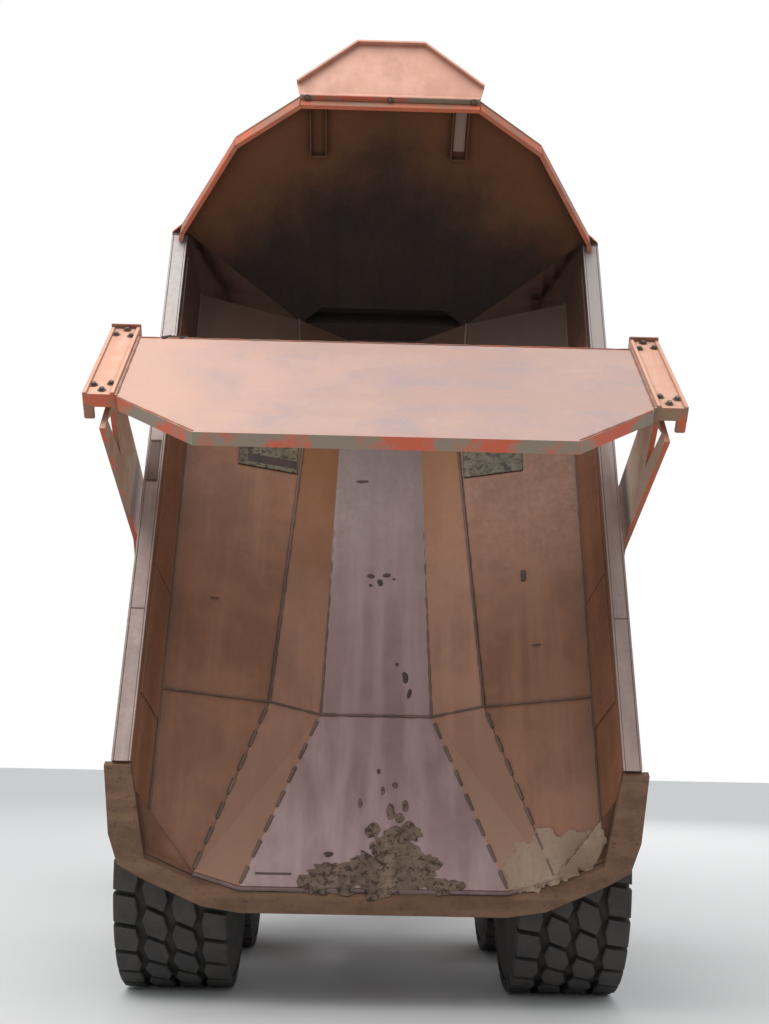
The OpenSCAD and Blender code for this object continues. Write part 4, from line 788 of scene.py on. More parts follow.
@dataclass
class BedLining:
    """Wear plates, weld runs and edges inside the bed, in the bed's own lines: X, along the rail, up."""

    rail_out: float = 1.620
    rail_in: float = 1.500
    crease_x: float = 1.444
    plate_t: float = 0.008
    sink: float = 0.003
    least_area: float = 0.05
    bead: float = 0.011
    groove: float = 0.014
    kink_u: float = 0.730
    ends: tuple = (
        # start, run, crease_w, strip_x, strip_w, floor_x, floor_w
        (0.0574, 0.781, -0.534, 1.145, -0.662, 0.855, -0.746),
        (0.730, 0.0, -0.550, 0.732, -0.766, 0.388, -0.985),
        (2.850, 0.0, -0.554, 0.589, -0.815, 0.310, -0.985),
        (4.2097, 0.268, -0.554, 0.672, -0.776, 0.290, -0.960),
    )

    def spot(self, row: int, x: float, w: float) -> tuple[float, float, float]:
        """Give a point of one cross-section of the bed."""
        return x, self.ends[row][0] + w * self.ends[row][1], w

    def plates(self, work: Workshop) -> None:
        """Lay a wear plate on each flat face of the floor, with a groove between neighbours."""
        source = bmesh.new()
        source.from_mesh(FRAME["nodes"]["bed_floor"].data)
        bmesh.ops.transform(source, matrix=LINES.bed().inverted(), verts=source.verts)
        bmesh.ops.remove_doubles(source, verts=source.verts, dist=1e-4)
        source.normal_update()
        # Only faces that look up into the load space are wanted
        under = [f for f in source.faces if f.normal.z < 0.3 or f.calc_center_median().z < -1.2]
        bmesh.ops.delete(source, geom=under, context="FACES")
        flat = {"angle_limit": math.radians(3.0), "use_dissolve_boundaries": False}
        bmesh.ops.dissolve_limit(source, verts=source.verts, edges=source.edges, **flat)
        names: dict[str, int] = {}
        for face in source.faces:
            if face.calc_area() < self.least_area:
                continue
            kind, finish = self.kind_of(face.calc_center_median())
            names[kind] = names.get(kind, 0) + 1
            blank = Blank(Frame.BED)
            bm = blank.bm
            sheet = bm.faces.new([bm.verts.new(v.co - self.sink * face.normal) for v in face.verts])
            rim = bmesh.ops.inset_region(bm, faces=[sheet], thickness=self.groove / 2, use_even_offset=True)
            bmesh.ops.delete(bm, geom=rim["faces"], context="FACES")
            raised = bmesh.ops.extrude_face_region(bm, geom=list(bm.faces))
            top = [g for g in raised["geom"] if isinstance(g, bmesh.types.BMVert)]
            bmesh.ops.translate(bm, verts=top, vec=(self.plate_t + self.sink) * face.normal)
            work.hand_over(blank, f"{kind}_{names[kind]}", finish, 20.0)
        source.free()

    def kind_of(self, middle: Vector) -> tuple[str, Weathered]:
        """Tell which plate of the floor lies round a point.

        Args:
            middle: a point in the bed's lines.

        Returns:
            The plate's name and its finish.
        """
        x = abs(middle.x)
        tail = middle.y < self.kink_u - 0.05
        if x < 0.25:
            return ("ducktail_plate" if tail else "middle_plate"), FLOOR_PLATE
        if x < (0.9 if tail else 0.75):
            return ("ducktail_strip" if tail else "strip_plate"), STRIP_PLATE
        return ("ducktail_panel" if tail else "panel_plate"), PANEL_PLATE

    def welds(self, work: Workshop) -> None:
        """Run weld beads along the floor's folds and the walls' feet."""
        blank = Blank(Frame.BED)
        foot = self.crease_x - 0.004
        fold = self.ends[1]
        across = ((fold[5], fold[6], 0.008), (fold[3], fold[4], 0.006), (self.crease_x, fold[2], 0.0))
        for side, _ in SIDES:
            for row in range(3):
                near, far = self.ends[row], self.ends[row + 1]
                # The ducktail's beads are broken into seven short runs
                runs = [(i / 7 + 0.01, i / 7 + 0.1) for i in range(7)] if row == 0 else [(0, 1)]
                for x, w in ((3, 4), (5, 6)):
                    start = Vector(self.spot(row, side * near[x], near[w] + self.plate_t))
                    end = Vector(self.spot(row + 1, side * far[x], far[w] + self.plate_t))
                    for a, b in runs:
                        blank.bead(start.lerp(end, a), start.lerp(end, b), self.bead)
                start = self.spot(row, side * foot, near[2] + 0.006)
                blank.bead(start, self.spot(row + 1, side * foot, far[2] + 0.006), 0.009)
            for (x0, w0, radius), (x1, w1, _) in zip(across, across[1:]):
                blank.bead((side * x0, self.kink_u, w0 + 0.01), (side * x1, self.kink_u, w1 + 0.01), radius)
        blank.bead((-fold[5], self.kink_u, fold[6] + 0.01), (fold[5], self.kink_u, fold[6] + 0.01), 0.010)
        work.hand_over(blank, "floor_weld_beads", WELD, LUMPY)

    def rail_edges(self, work: Workshop) -> None:
        """Lay the thin raised borders and caps on the rails' tops, and the weld patch on the left one."""
        blank = Blank(Frame.BED)
        for side, _ in SIDES:
            for x in (self.rail_out - 0.014, self.rail_in + 0.002):
                blank.span(side, (x, 0.03, -0.002), (x + 0.012, LINES.rail_len - 0.03, 0.007), 0.002)
            for start, end in ((0.03, 1.05), (1.058, 2.70), (2.708, 4.18)):
                low = (self.rail_in + 0.016, start, -0.002)
                blank.span(side, low, (self.rail_out - 0.016, end, 0.004), 0.0015)
        work.hand_over(blank, "rail_top_plates", RAIL_PLATE)
        patch = Blank(Frame.BED)
        left, right, start, end = -1.598, -1.528, 2.02, 2.33
        patch.bar((left, start, 0.003), (right, end, 0.010), 0.003)
        for u in (start, end):
            patch.bead((left, u, 0.009), (right, u, 0.009), 0.007)
        work.hand_over(patch, "rail_weld_patch", WELD, EASED)

    def side_plates(self, work: Workshop) -> None:
        """Hang the long liners on the walls between the rails and the crease."""
        lean = math.atan2(self.rail_in - self.crease_x, 0.55)
        for side, name in SIDES:
            place = Matrix.Translation((side * (self.crease_x - 0.004), 0, -0.545))
            place @= Matrix.Rotation(side * lean, 4, "Y")
            for count, (start, end) in enumerate(((0.50, 1.40), (1.408, 2.80), (2.808, 4.02)), 1):
                blank = Blank(Frame.BED)
                blank.bar((-0.006, start, 0.03), (0.006, end, 0.50), 0.002, place)
                work.hand_over(blank, f"wall_liner_{name}_{count}", SIDE_PLATE)

    def on_panel(self, side: int, x: float, u: float) -> Matrix:
        """Give the matrix of a spot on a side panel ahead of the fold: X across it, Y along, Z out of it."""
        near, far = self.ends[1], self.ends[2]
        share = (u - near[0]) / (far[0] - near[0])
        crease_w, strip_x, strip_w = (near[i] + share * (far[i] - near[i]) for i in (2, 3, 4))
        slope = (crease_w - strip_w) / (self.crease_x - strip_x)
        spot = Vector((side * x, u, strip_w + slope * (x - strip_x)))
        return Matrix.Translation(spot) @ Matrix.Rotation(-side * math.atan(slope), 4, "Y")

    def marks(self, work: Workshop) -> None:
        """Lay the two old patches on the side panels with dark boxes in their holes, and the scuff marks and slots
        that the load has left; the holes and slots are dark as painted shade.
        """
        holes = {
            "left": ((-0.17, 0.05, 0.05, 0.04), (0.03, -0.06, 0.19, 0.035)),
            "right": ((0.02, 0.03, 0.03, 0.012),),
        }
        for side, name in SIDES:
            place = self.on_panel(side, 0.845, 2.705)
            patch, hole = Blank(Frame.BED), Blank(Frame.BED)
            patch.bar((-0.225, -0.13, 0.006), (0.225, 0.12, 0.012), 0.004, place)
            work.hand_over(patch, f"panel_patch_{name}", PATCH, EASED)
            # Dark boxes in the patch's holes: painted shade
            for x, u, long, wide in holes[name]:
                hole.bar((x - long, u - wide, 0.010), (x + long, u + wide, 0.0135), 0.002, place)
            work.hand_over(hole, f"panel_patch_hole_{name}", SCUFF_AND_OPENING_SHADE, EASED)
        scuffs_and_slot_shade = Blank(Frame.BED)
        floor_w = self.ends[1][6] + self.plate_t
        for x, u, long, wide, turn in (
            (-0.052, 1.815, 0.026, 0.022, 0.3), (0.015, 1.765, 0.024, 0.030, -0.3), (0.062, 1.825, 0.030, 0.022, 0.4),
            (-0.055, 1.740, 0.014, 0.012, 0.0), (0.115, 1.795, 0.014, 0.010, 0.0), (-0.13, 2.62, 0.045, 0.012, 0.0),
            (0.20, 1.02, 0.020, 0.045, 0.2), (0.23, 0.90, 0.014, 0.040, -0.2), (0.14, 1.12, 0.012, 0.014, 0.1),
        ):
            # The middle plate lies in one sheet, and rises from the floor ahead of the fold
            lift = 0.001 + max(0.0, 0.0072 * (u - self.kink_u))
            spot = Matrix.Translation((x, u, floor_w + lift)) @ Matrix.Rotation(turn, 4, "Z")
            self.cake(scuffs_and_slot_shade, long, wide, 0.004, spot)
        # A scuff mark and thin dark slots on the panels, and a slot on the ducktail: the slots are painted shade in
        # the openings
        low, high = self.plate_t - 0.001, self.plate_t + 0.0025
        for side, x, u, long, wide in (
            (1, 1.03, 1.70, 0.016, 0.040), (1, 1.10, 1.15, 0.03, 0.004), (-1, 1.15, 1.45, 0.03, 0.004),
        ):
            scuffs_and_slot_shade.bar((-long, -wide, low), (long, wide, high), 0.001, self.on_panel(side, x, u))
        tail = self.on_ducktail(-0.645, -0.440)
        scuffs_and_slot_shade.bar((-0.115, -0.007, low), (0.115, 0.007, high + 0.0005), 0.001, tail)
        work.hand_over(scuffs_and_slot_shade, "floor_scuffs_and_slot_shade", SCUFF_AND_OPENING_SHADE, EASED)

    def on_ducktail(self, x: float, u: float) -> Matrix:
        """Give the matrix of a spot on the ducktail's middle: X across it, Y along, Z out of it."""
        tail, fold = self.ends[0], self.ends[1]
        tail_u = tail[0] + tail[6] * tail[1]
        slope = (fold[6] - tail[6]) / (fold[0] - tail_u)
        return Matrix.Translation((x, u, tail[6] + slope * (u - tail_u))) @ Matrix.Rotation(math.atan(slope), 4, "X")

    def mud(self, work: Workshop) -> None:
        """Leave crusted mud at the ducktail's end, and a smooth dried cake in the tail's right corner."""
        steel = self.steel()
        centre = Blank(Frame.BED)
        for x, u, long, wide in (
            (-0.20, -0.45, 0.24, 0.10), (0.06, -0.41, 0.26, 0.15), (0.27, -0.38, 0.16, 0.14),
            (0.12, -0.22, 0.16, 0.10), (-0.40, -0.50, 0.13, 0.06), (0.24, -0.14, 0.09, 0.06),
            (-0.02, -0.13, 0.06, 0.05), (0.45, -0.50, 0.13, 0.05), (0.10, 0.00, 0.025, 0.05),
            (-0.10, 0.06, 0.015, 0.04), (0.20, 0.05, 0.020, 0.035), (0.05, 0.16, 0.012, 0.03),
            (0.13, 0.20, 0.018, 0.02), (0.02, 0.30, 0.012, 0.02), (0.16, -0.04, 0.03, 0.03),
            (-0.30, -0.30, 0.03, 0.02),
        ):
            self.cake(centre, long, wide, 0.010, Matrix.Translation((x, u, 0)), steel)
        work.hand_over(centre, "ducktail_mud", MUD, LUMPY)
        corner = Blank(Frame.BED)
        for x, u, long, wide in (
            (1.02, -0.37, 0.15, 0.17), (1.16, -0.34, 0.15, 0.15), (1.30, -0.30, 0.13, 0.12), (0.92, -0.40, 0.10, 0.13),
            (1.38, -0.28, 0.07, 0.10), (1.08, -0.20, 0.06, 0.06),
        ):
            self.cake(corner, long, wide, 0.009, Matrix.Translation((x, u, 0)), steel)
        work.hand_over(corner, "corner_mud", DRY_MUD, LUMPY)

    @staticmethod
    def steel() -> BVHTree:
        """Gather the bed's floor, walls and rim, in the bed's lines, for things that lie on them."""
        source = bmesh.new()
        for node in ("bed_floor", "bed_sides", "bed_rim"):
            source.from_mesh(FRAME["nodes"][node].data)
        bmesh.ops.transform(source, matrix=LINES.bed().inverted(), verts=source.verts)
        tree = BVHTree.FromBMesh(source)
        source.free()
        return tree

    def tail_edge(self, work: Workshop) -> None:
        """Lay a bright worn strip along the outer edge of the rim's face."""
        blank = Blank(Frame.BED)
        start, run = self.ends[0][:2]
        out = Vector((0, -1, run)).normalized()
        outline = ((1.600, -0.578), (1.470, -0.655), (1.092, -0.820), (0.845, -0.854))
        half = [Vector((x, start + w * run, w)) for x, w in outline]
        points = half + [Vector((-p.x, p.y, p.z)) for p in reversed(half)]
        for a, b in zip(points, points[1:]):
            along = (b - a).normalized()
            up = out.cross(along)
            up = up if up.z > 0 else -up
            turn = Matrix.Translation(a + out * 0.001) @ Matrix((along, up, out)).transposed().to_4x4()
            blank.bar((0.002, 0.0, -0.004), ((b - a).length - 0.002, 0.024, 0.004), 0.002, turn)
        work.hand_over(blank, "tail_edge_strip", TAIL_EDGE, EASED)

    def cake(
        self, blank: Blank, long: float, wide: float, thick: float, place: Matrix, steel: BVHTree | None = None
    ) -> None:
        """Add one flat cake of mud with a ragged rim and a lumpy top.

        Args:
            blank: the mesh that it joins.
            long: half its length.
            wide: half its width.
            thick: half its thickness.
            place: the matrix that lays it down.
            steel: where it is given, the cake settles on it, from above.
        """
        made = bmesh.ops.create_icosphere(blank.bm, subdivisions=5, radius=1.0)["verts"]
        origin = place.translation
        above, down = Vector((0, 0, 0.4)), Vector((0, 0, -1))
        for v in made:
            flat = Vector((v.co.x * long, v.co.y * wide, 0))
            ragged = noise.noise(9 * flat + 3 * origin) * 0.5 + noise.noise(28 * flat + origin) * 0.3
            lump = noise.noise(45 * flat + origin) + 0.6 * noise.noise(95 * flat + origin)
            v.co = place @ Vector((flat.x * (1 + ragged), flat.y * (1 + ragged), thick * v.co.z * (1 + 0.7 * lump)))
            for pull in range(10 if steel else 0):
                spot = Vector((origin.x, origin.y, 0)).lerp(Vector((v.co.x, v.co.y, 0)), 1 - 0.1 * pull)
                found = steel.ray_cast(spot + above, down)[0]
                if found:
                    v.co = Vector((spot.x, spot.y, found.z + self.plate_t + v.co.z - origin.z))
                    break

    def build(self, work: Workshop) -> None:
        """Make all of the bed's lining."""
        self.plates(work)
        self.welds(work)
        self.rail_edges(work)
        self.side_plates(work)
        self.marks(work)
        self.mud(work)
        self.tail_edge(work)


@dataclass
class Headboard:
    """Channels, edges and bolts on the front wall, in its lines: X, minus Y to the load, up its face.

    The corners of the arch are given as X and height above the rails, square to them.
    """

    channel_low: float = 0.70
    channel_high: float = 1.115
    channel_x: tuple[float, float] = (0.445, 0.565)
    arch: tuple = ((1.540, 0.069), (1.100, 0.786), (0.628, 1.110))
    flange_deep: float = 0.110
    lean: float = math.cos(math.radians(LINES.wall_lean_deg))

    def channels(self, work: Workshop) -> None:
        """Stand the two upright channels on the wall, the right one with its blank label."""
        near, far = self.channel_x
        low, high, sheet = self.channel_low, self.channel_high, 0.010
        for side, name in SIDES:
            blank = Blank(Frame.WALL)
            a, b = sorted((side * near, side * far))
            for x in (a, b - sheet):
                blank.bar((x, -0.045, low), (x + sheet, 0.002, high), 0.002)
            blank.bar((a, -0.045, low), (b, 0.002, low + sheet), 0.002)
            blank.bar((a + 0.008, -0.006, low), (b - 0.008, 0.002, high), 0.002)
            work.hand_over(blank, f"headboard_channel_{name}", WALL_PLATE)
        label = Blank(Frame.WALL)
        label.bar((near + 0.020, -sheet, low + 0.06), (far - 0.020, -0.005, high - 0.05), 0.001)
        work.hand_over(label, "headboard_label", LABEL)

    def arch_edge(self, work: Workshop) -> None:
        """Skin the arch's folded flange, salmon inside with a redder outer edge."""
        half = [(x, w / self.lean) for x, w in ((1.560, 0.0), *self.arch)]
        points = [Vector((-x, 0, z)) for x, z in half] + [Vector((x, 0, z)) for x, z in reversed(half)]
        face, edge = Blank(Frame.WALL), Blank(Frame.WALL)
        front = -self.flange_deep
        for a, b in zip(points, points[1:]):
            along = (b - a).normalized()
            end = (b - a).length
            turn = Matrix(((along.x, 0, along.z, a.x), (0, 1, 0, 0), (along.z, 0, -along.x, a.z), (0, 0, 0, 1)))
            face.bar((0.004, front - 0.003, -0.002), (end - 0.004, front + 0.002, 0.028), 0.001, turn)
            face.bar((0.006, front + 0.002, 0.027), (end - 0.006, -0.004, 0.030), 0.001, turn)
            edge.bar((0.004, front - 0.001, -0.003), (end - 0.004, -0.02, 0.0005), 0.001, turn)
        work.hand_over(face, "arch_flange_skin", ARCH_ENAMEL)
        work.hand_over(edge, "arch_outer_skin", ORANGE_ENAMEL)

    def guard(self, work: Workshop) -> None:
        """Bolt the spill guard's foot strip to the arch."""
        top = self.arch[2][1] / self.lean
        strip = Blank(Frame.WALL)
        strip.bar((-0.622, -0.052, top + 0.004), (0.622, -0.045, top + 0.044), 0.002)
        work.hand_over(strip, "guard_foot_strip", GATE_ENAMEL)
        bolts = Blank(Frame.WALL)
        for x in (-0.579, 0.0, 0.582):
            bolts.bolt((x, -0.052, top + 0.024), (0, -1, 0), 0.026)
        work.hand_over(bolts, "guard_bolts", BOLT, EASED)

    def build(self, work: Workshop) -> None:
        """Make all that the front wall carries."""
        self.channels(work)
        self.arch_edge(work)
        self.guard(work)


@dataclass
class Tailgate:
    """Bolts, welds and rubber on the tailgate, in its lines: X, up its face from the drop, out."""

    drop: float = 1.050
    outer: float = 0.097
    height: float = 1.373
    bracket: tuple[float, float, float, float] = (1.618, 1.813, 0.474, 1.517)
    hook_low: float = -0.070

    def bolts(self, work: Workshop) -> None:
        """Bolt the brackets to the gate, three bolts at each end."""
        blank = Blank(Frame.GATE)
        for side, _ in SIDES:
            for x, v in (
                (1.665, 0.325), (1.705, 0.425), (1.765, 0.345), (1.665, -0.425), (1.705, -0.520), (1.765, -0.450),
            ):
                blank.bolt((side * x, v, self.outer + 0.001), (0, 0, 1), 0.030)
        work.hand_over(blank, "bracket_bolts", BOLT, EASED)

    def brackets(self, work: Workshop) -> None:
        """Give the brackets their folded ribs, and the lips and hooks at their ends."""
        ribs, hooks = Blank(Frame.GATE), Blank(Frame.GATE)
        near, far, low, high = self.bracket
        low, high = low - self.drop, high - self.drop
        foot, under = self.outer - 0.002, self.outer - 0.062
        for side, _ in SIDES:
            ribs.span(side, (near + 0.004, low, foot), (near + 0.030, high, self.outer + 0.014), 0.004)
            ribs.span(side, (far - 0.026, low, foot), (far, high, self.outer + 0.010), 0.004)
            hooks.span(side, (near, high - 0.012, foot), (far, high + 0.002, self.outer + 0.030), 0.003)
            hooks.span(side, (far - 0.064, low - 0.001, self.hook_low), (far + 0.001, low + 0.024, under), 0.008)
            outer = (far - 0.016, low + 0.020, self.hook_low + 0.02)
            hooks.span(side, outer, (far + 0.001, high - 0.05, under), 0.003)
        work.hand_over(ribs, "bracket_ribs", ARM_ENAMEL)
        work.hand_over(hooks, "bracket_hooks", ORANGE_ENAMEL)

    def seams(self, work: Workshop) -> None:
        """Run weld beads along the gate's top and down its sides and cut corners."""
        blank = Blank(Frame.GATE)
        top, out, bead = self.height - self.drop, self.outer, 0.006
        blank.bead((-1.60, top - 0.012, out + 0.001), (1.60, top - 0.012, out + 0.001), bead)
        for side, _ in SIDES:
            blank.bead((side * 1.604, 0.48 - self.drop, out), (side * 1.604, top, out), bead)
            blank.bead((side * 1.10, 0.012 - self.drop, out), (side * 1.59, 0.432 - self.drop, out), bead)
        work.hand_over(blank, "gate_weld_beads", ORANGE_ENAMEL, LUMPY)

    def scraps(self, work: Workshop) -> None:
        """Leave torn scraps of rubber on the gate's top edge."""
        blank = Blank(Frame.GATE)
        for x, v, long, wide, turn in (
            (-1.43, 1.372, 0.035, 0.016, 0.5), (-1.37, 1.376, 0.03, 0.010, -0.3), (-1.32, 1.371, 0.03, 0.014, 0.2),
        ):
            place = Matrix.Translation((x, v - self.drop, self.outer - 0.002))
            place @= Matrix.Rotation(turn, 4, "Z") @ Matrix.Rotation(0.12, 4, "X")
            blank.bar((-long, -wide, 0), (long, wide, 0.010), 0.003, place)
        work.hand_over(blank, "gate_rubber_scraps", RUBBER, 40.0)

    def build(self, work: Workshop) -> None:
        """Make all that the tailgate carries."""
        self.bolts(work)
        self.brackets(work)
        self.seams(work)
        self.scraps(work)


@dataclass
class Wheel:
    """One earthmover tyre with its tread blocks, and the nuts of its rim. X runs along the axle."""

    place: str
    radius: float = 0.9375
    groove: float = 0.048
    pitches: int = 26
    bead_r: float = 0.3175
    share: float = 0.84
    slant: float = 0.45

    def carcass(self, blank: Blank) -> None:
        """Spin the casing from bead to bead."""
        base = self.radius - self.groove
        side = [
            (0.325, self.bead_r), (0.330, 0.345), (0.348, 0.40), (0.366, 0.455), (0.380, 0.52), (0.385, 0.585),
            (0.385, 0.64), (0.3835, 0.66), (0.3835, 0.72), (0.381, 0.765), (0.374, 0.80), (0.374, 0.815),
            (0.362, 0.85), (0.352, 0.875), (0.330, base),
        ]
        points = side + [(-x, r) for x, r in reversed(side)]
        verts = [blank.bm.verts.new((x, 0, r)) for x, r in points]
        edges = [blank.bm.edges.new(pair) for pair in zip(verts, verts[1:])]
        edges.append(blank.bm.edges.new((verts[-1], verts[0])))
        whole = {"angle": math.tau, "steps": 100, "use_merge": True}
        bmesh.ops.spin(blank.bm, geom=verts + edges, cent=(0, 0, 0), axis=(1, 0, 0), **whole)
        bmesh.ops.remove_doubles(blank.bm, verts=blank.bm.verts, dist=1e-5)

    def blocks(self, blank: Blank) -> None:
        """Add the four staggered rows of tread blocks."""
        bm = blank.bm
        base, top = self.radius - self.groove - 0.004, self.radius
        pitch = math.tau / self.pitches
        angle = self.share * pitch
        shoulder = (
            (0.212, base), (0.206, top - 0.010), (0.214, top), (0.360, top), (0.3695, top - 0.012), (0.3705, 0.862),
            (0.33, 0.862),
        )
        centre = ((0.018, base), (0.012, top - 0.010), (0.020, top), (0.172, top), (0.180, top - 0.010), (0.174, base))
        sweep = {"angle": angle, "steps": 4, "use_merge": False, "use_duplicate": False}
        for outline, side, phase in ((shoulder, -1, 0.0), (centre, -1, 0.5), (centre, 1, 0.0), (shoulder, 1, 0.5)):
            # How far the row's middle lies out, how much its ends narrow, and its share of the slant
            middle, taper, share = (0.096, 0.34, 1.0) if outline is centre else (0.30, 0.22, 0.35)
            middle *= side
            first = len(bm.verts)
            verts = [bm.verts.new((side * x, 0, r)) for x, r in outline]
            sheet = bm.faces.new(verts)
            bmesh.ops.rotate(bm, verts=verts, cent=(0, 0, 0), matrix=Matrix.Rotation(-angle / 2, 3, "X"))
            bmesh.ops.spin(bm, geom=[sheet], cent=(0, 0, 0), axis=(1, 0, 0), **sweep)
            bm.verts.ensure_lookup_table()
            block = bm.verts[first:]
            for v in block:
                bend = abs(math.atan2(v.co.y, v.co.z)) / (angle / 2)
                if outline is centre or abs(v.co.x) < 0.25:
                    v.co.x = middle + (v.co.x - middle) * (1.02 - taper * bend)
                if bend > 0.95 and v.co.yz.length > top - 0.005:
                    v.co.yz = v.co.yz * 0.995
                v.co = Matrix.Rotation(self.slant * (v.co.x - middle) / self.radius * share, 3, "X") @ v.co
            faces = list({f for v in block for f in v.link_faces})
            edges = list({e for v in block for e in v.link_edges})
            bmesh.ops.rotate(bm, verts=block, cent=(0, 0, 0), matrix=Matrix.Rotation(phase * pitch, 3, "X"))
            for i in range(1, self.pitches):
                copy = bmesh.ops.duplicate(bm, geom=block + edges + faces)["geom"]
                fresh = [g for g in copy if isinstance(g, bmesh.types.BMVert)]
                bmesh.ops.rotate(bm, verts=fresh, cent=(0, 0, 0), matrix=Matrix.Rotation(i * pitch, 3, "X"))

    def centre(self) -> Vector:
        """Give the wheel's middle in the truck's lines."""
        low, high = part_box(f"tyre_{self.place}")
        middle = (low + high) / 2
        return Vector((middle.x, middle.y - LINES.axle_y(), middle.z))

    def build(self, work: Workshop) -> None:
        """Make the tyre and the rim's nuts."""
        blank = Blank()
        self.carcass(blank)
        self.blocks(blank)
        middle = self.centre()
        bmesh.ops.translate(blank.bm, verts=blank.bm.verts, vec=middle)
        body = f"wheel_{self.place}"
        tyre = work.hand_over(blank, f"tread_tyre_{self.place}", TYRE, 28.0, body)
        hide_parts(f"tyre_{self.place}")
        side = 1 if middle.x > 0 else -1
        nuts = Blank()
        # Rings of nuts on the rim and on the hub's cap: number, turn, place out, radius, width
        for number, turn, out, ring, across in ((20, 0.0, 0.0195, 0.203, 0.028), (3, 0.4, 0.2245, 0.09, 0.03)):
            for i in range(number):
                a = math.tau * i / number + turn
                spot = middle + Vector((side * out, ring * math.cos(a), ring * math.sin(a)))
                nuts.bolt(spot, (side, 0, 0), across)
        work.hand_over(nuts, f"wheel_nuts_{self.place}", BOLT, EASED, body)


@dataclass
class Cabin:
    """Window rubbers, mirror glasses and seat. Counted from the cab's rear foot."""

    half: float = 0.850

    def origin(self) -> Vector:
        """Give the cab's rear foot in the truck's lines."""
        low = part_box("cab_shell")[0]
        return Vector((0, low.y - LINES.axle_y(), low.z))

    @staticmethod
    def strips(pane: tuple[float, float, float, float], wide: float) -> tuple:
        """Give the low and high corners of the four strips round a pane.

        Args:
            pane: its left, lower, right and upper edge.
            wide: a strip's width.

        Returns:
            Two corners for each strip.
        """
        a, b, c, d = pane
        return (
            ((a - wide, b - wide), (c + wide, b)), ((a - wide, d), (c + wide, d + wide)),
            ((a - wide, b), (a, d)), ((c, b), (c + wide, d)),
        )

    def rubbers(self, work: Workshop) -> None:
        """Set a rubber round each side window, the rear one and the door's pane."""
        foot = self.origin()
        fixed, door = Blank(), Blank()
        inner, outer = self.half - 0.004, self.half + 0.007
        for blank, side, pane in (
            (fixed, 1, (0.140, 0.620, 0.800, 1.500)),
            (fixed, 1, (0.880, 0.620, 1.440, 1.500)),
            (fixed, -1, (1.130, 0.620, 1.440, 1.500)),
            (door, -1, (0.232, 0.620, 0.928, 1.508)),
        ):
            x0, x1 = sorted((side * inner, side * outer))
            for low, high in self.strips(pane, 0.022):
                blank.bar(foot + Vector((x0, *low)), foot + Vector((x1, *high)), 0.003)
        for low, high in self.strips((-0.73, 0.70, 0.73, 1.50), 0.024):
            fixed.bar(foot + Vector((low[0], 0.004, low[1])), foot + Vector((high[0], 0.016, high[1])), 0.003)
        work.hand_over(fixed, "window_rubbers", RUBBER)
        work.hand_over(door, "door_window_rubber", RUBBER, body="cab_door")

    def mirrors(self, work: Workshop) -> None:
        """Lay the glasses into the two mirrors' rear faces."""
        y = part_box("mirrors")[0].y - LINES.axle_y()
        blank = Blank()
        for side, _ in SIDES:
            blank.span(side, (1.468, y - 0.003, 2.58), (1.672, y + 0.004, 3.00), 0.002)
        work.hand_over(blank, "mirror_glasses", MIRROR)

    def seat(self, work: Workshop) -> None:
        """Upholster the seat: a cushion and a back on a plain base."""
        foot = self.origin()
        base = Blank()
        for low, high, chamfer in (
            ((-0.19, 0.43, 0.0605), (0.19, 0.81, 0.11), 0.01),
            ((-0.15, 0.47, 0.10), (0.15, 0.77, 0.245), 0.02),
            ((-0.22, 0.41, 0.235), (0.22, 0.84, 0.262), 0.01),
        ):
            base.bar(foot + Vector(low), foot + Vector(high), chamfer)
        work.hand_over(base, "seat_base", TRIM)
        tilt = Matrix.Translation(foot + Vector((0, 0.40, 0.385))) @ Matrix.Rotation(math.radians(10), 4, "X")
        level = Matrix.Translation(foot)
        cushion = self.pad("seat_cushion", (-0.26, 0.40, 0.262), (0.26, 0.915, 0.398), level, 2, work)
        self.pad("seat_back", (-0.25, 0.004, 0.02), (0.25, 0.126, 0.635), tilt, 1, work)
        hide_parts("seat")

    def pad(self, name: str, low: tuple, high: tuple, place: Matrix, thin: int, work: Workshop) -> bpy.types.Object:
        """Shape one upholstered pad with a crowned face, pulled-in sides and two sewn channels.

        Args:
            name: the piece's name.
            low: lowest corner before it is placed.
            high: highest corner.
            place: the matrix that places it.
            thin: the axis that it is thin along.
            work: the workshop.

        Returns:
            The pad.
        """
        blank = Blank()
        verts = blank.bar(low, high)
        edges = list({e for v in verts for e in v.link_edges})
        bmesh.ops.subdivide_edges(blank.bm, edges=edges, cuts=17, use_grid_fill=True)
        a, b = Vector(low), Vector(high)
        middle, half = (a + b) / 2, (b - a) / 2
        broad = [i for i in range(3) if i != thin]
        for v in blank.bm.verts:
            u = [(v.co[i] - middle[i]) / half[i] for i in range(3)]
            across, along = (u[i] for i in broad)
            crown = (1 - across**4) * (1 - along**4)
            sewn = sum(math.exp(-(((across - s) / 0.045) ** 2)) for s in (-0.42, 0.42))
            v.co[thin] = middle[thin] + u[thin] * half[thin] * (0.74 + 0.26 * crown - 0.16 * sewn * crown)
            if max(abs(across), abs(along)) > 0.99:
                pull = 1 - 0.035 * (1 - abs(u[thin])) - 0.03 * abs(u[thin])
                for i in broad:
                    v.co[i] = middle[i] + (v.co[i] - middle[i]) * pull
        ways = {"use_axis_x": True, "use_axis_y": True, "use_axis_z": True}
        for _ in range(3):
            bmesh.ops.smooth_vert(blank.bm, verts=blank.bm.verts, factor=0.5, **ways)
        bmesh.ops.transform(blank.bm, matrix=place, verts=blank.bm.verts)
        obj = work.hand_over(blank, name, SEAT_CLOTH, LUMPY)
        return obj

    def build(self, work: Workshop) -> None:
        """Fit out the cab."""
        self.rubbers(work)
        self.mirrors(work)
        self.seat(work)


def paint_frame(frame: dict, shop: Paintshop) -> None:
    """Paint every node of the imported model.

    Args:
        shop: where the finishes come from.
    """
    for part in frame["record"]["subparts"]:
        name = part["node"]
        finish = NODE_FINISH.get(name, SLOT_FINISH[part["material_slot"]])
        if name.startswith("rim_"):
            finish = WHEEL_ENAMEL
        obj = frame["nodes"][name]
        shop.paint(obj, finish)


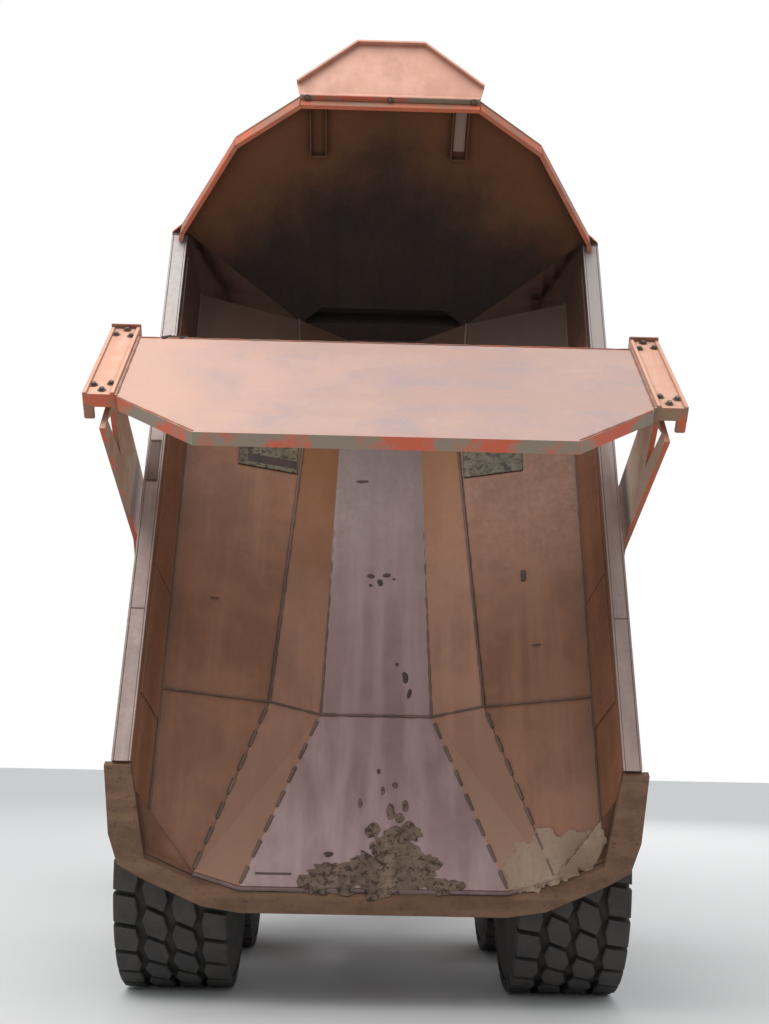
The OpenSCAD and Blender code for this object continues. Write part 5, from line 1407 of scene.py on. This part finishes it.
@dataclass
class Studio:
    """Floor, light and the photograph's camera."""

    eye: tuple[float, float, float] = (-0.130, -10.056, 1.718)
    yaw_deg: float = 0.955
    pitch_deg: float = 9.642
    roll_deg: float = 1.171
    lens: float = 47.70

    def camera(self) -> None:
        """Stand the camera where the photograph was taken."""
        yaw, pitch, roll = (math.radians(a) for a in (self.yaw_deg, self.pitch_deg, self.roll_deg))
        ahead = Vector((math.sin(yaw) * math.cos(pitch), math.cos(yaw) * math.cos(pitch), math.sin(pitch)))
        right = Vector((math.cos(yaw), -math.sin(yaw), 0))
        up = right.cross(ahead)
        side = math.cos(roll) * right + math.sin(roll) * up
        top = math.cos(roll) * up - math.sin(roll) * right
        data = bpy.data.cameras.new("photo_camera")
        data.lens = self.lens
        data.sensor_width = 36.0
        data.sensor_fit = "AUTO"
        data.clip_end = 200.0
        obj = put("photo_camera", data)
        turn = Matrix((side, top, -ahead)).transposed().to_4x4()
        obj.matrix_world = Matrix.Translation(Vector(self.eye) + Vector((0, LINES.axle_y(), 0))) @ turn
        bpy.context.scene.camera = obj

    def light(self) -> None:
        """Light the truck as under an even bright sky, in front of a white background."""
        world = bpy.data.worlds.new("sky")
        add = Graph(world).add
        seen = add("LightPath", out="Is Camera Ray")
        for kind in ("Is Glossy Ray", "Is Transmission Ray"):
            seen = add("Math", {0: seen, 1: add("LightPath", out=kind)}, operation="MAXIMUM")
        glow = add("Background", {"Color": (0.93, 0.96, 1.0, 1.0), "Strength": 0.85})
        white = add("Background", {"Color": (1, 1, 1, 1), "Strength": 1.0})
        add("OutputWorld", {"Surface": add("MixShader", {0: seen, 1: glow, 2: white})})
        bpy.context.scene.world = world
        for name, spot, size, watts in (
            ("sky_panel", (-4, -9, 12), 9.0, 900.0),
            ("front_panel", (6, 16, 11), 9.0, 700.0),
        ):
            lamp = bpy.data.lights.new(name, "AREA")
            lamp.size = size
            lamp.energy = watts
            way = Vector((0, 0, 2)) - Vector(spot)
            turn = way.to_track_quat("-Z", "Y").to_matrix().to_4x4()
            put(name, lamp).matrix_world = Matrix.Translation(spot) @ turn

    def floor(self) -> None:
        """Lay a pale plain floor."""
        bm = bmesh.new()
        bmesh.ops.create_grid(bm, x_segments=1, y_segments=1, size=60)
        mesh = bpy.data.meshes.new("pale_floor")
        bm.to_mesh(mesh)
        bm.free()
        mesh.materials.append(STUDIO_FLOOR.build())
        put("pale_floor", mesh)


def main() -> None:
    """Load the frame, dress it and set the studio round it."""
    logging.basicConfig(level=logging.INFO, format="%(message)s")
    FRAME.update(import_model())
    shop = Paintshop()
    work = Workshop(shop)
    studio = Studio()
    studio.camera()
    paint_frame(FRAME, shop)
    LOG.info("painted %d nodes", len(FRAME["nodes"]))
    BedLining().build(work)
    Headboard().build(work)
    Tailgate().build(work)
    for axle in ("front", "mid", "rear"):
        for hand in ("left", "right"):
            Wheel(f"{axle}_{hand}").build(work)
    Cabin().build(work)
    LOG.info("made %d pieces", work.count)
    studio.light()
    studio.floor()
    bpy.context.scene.view_settings.view_transform = "Standard"


if __name__ == "__main__":
    main()
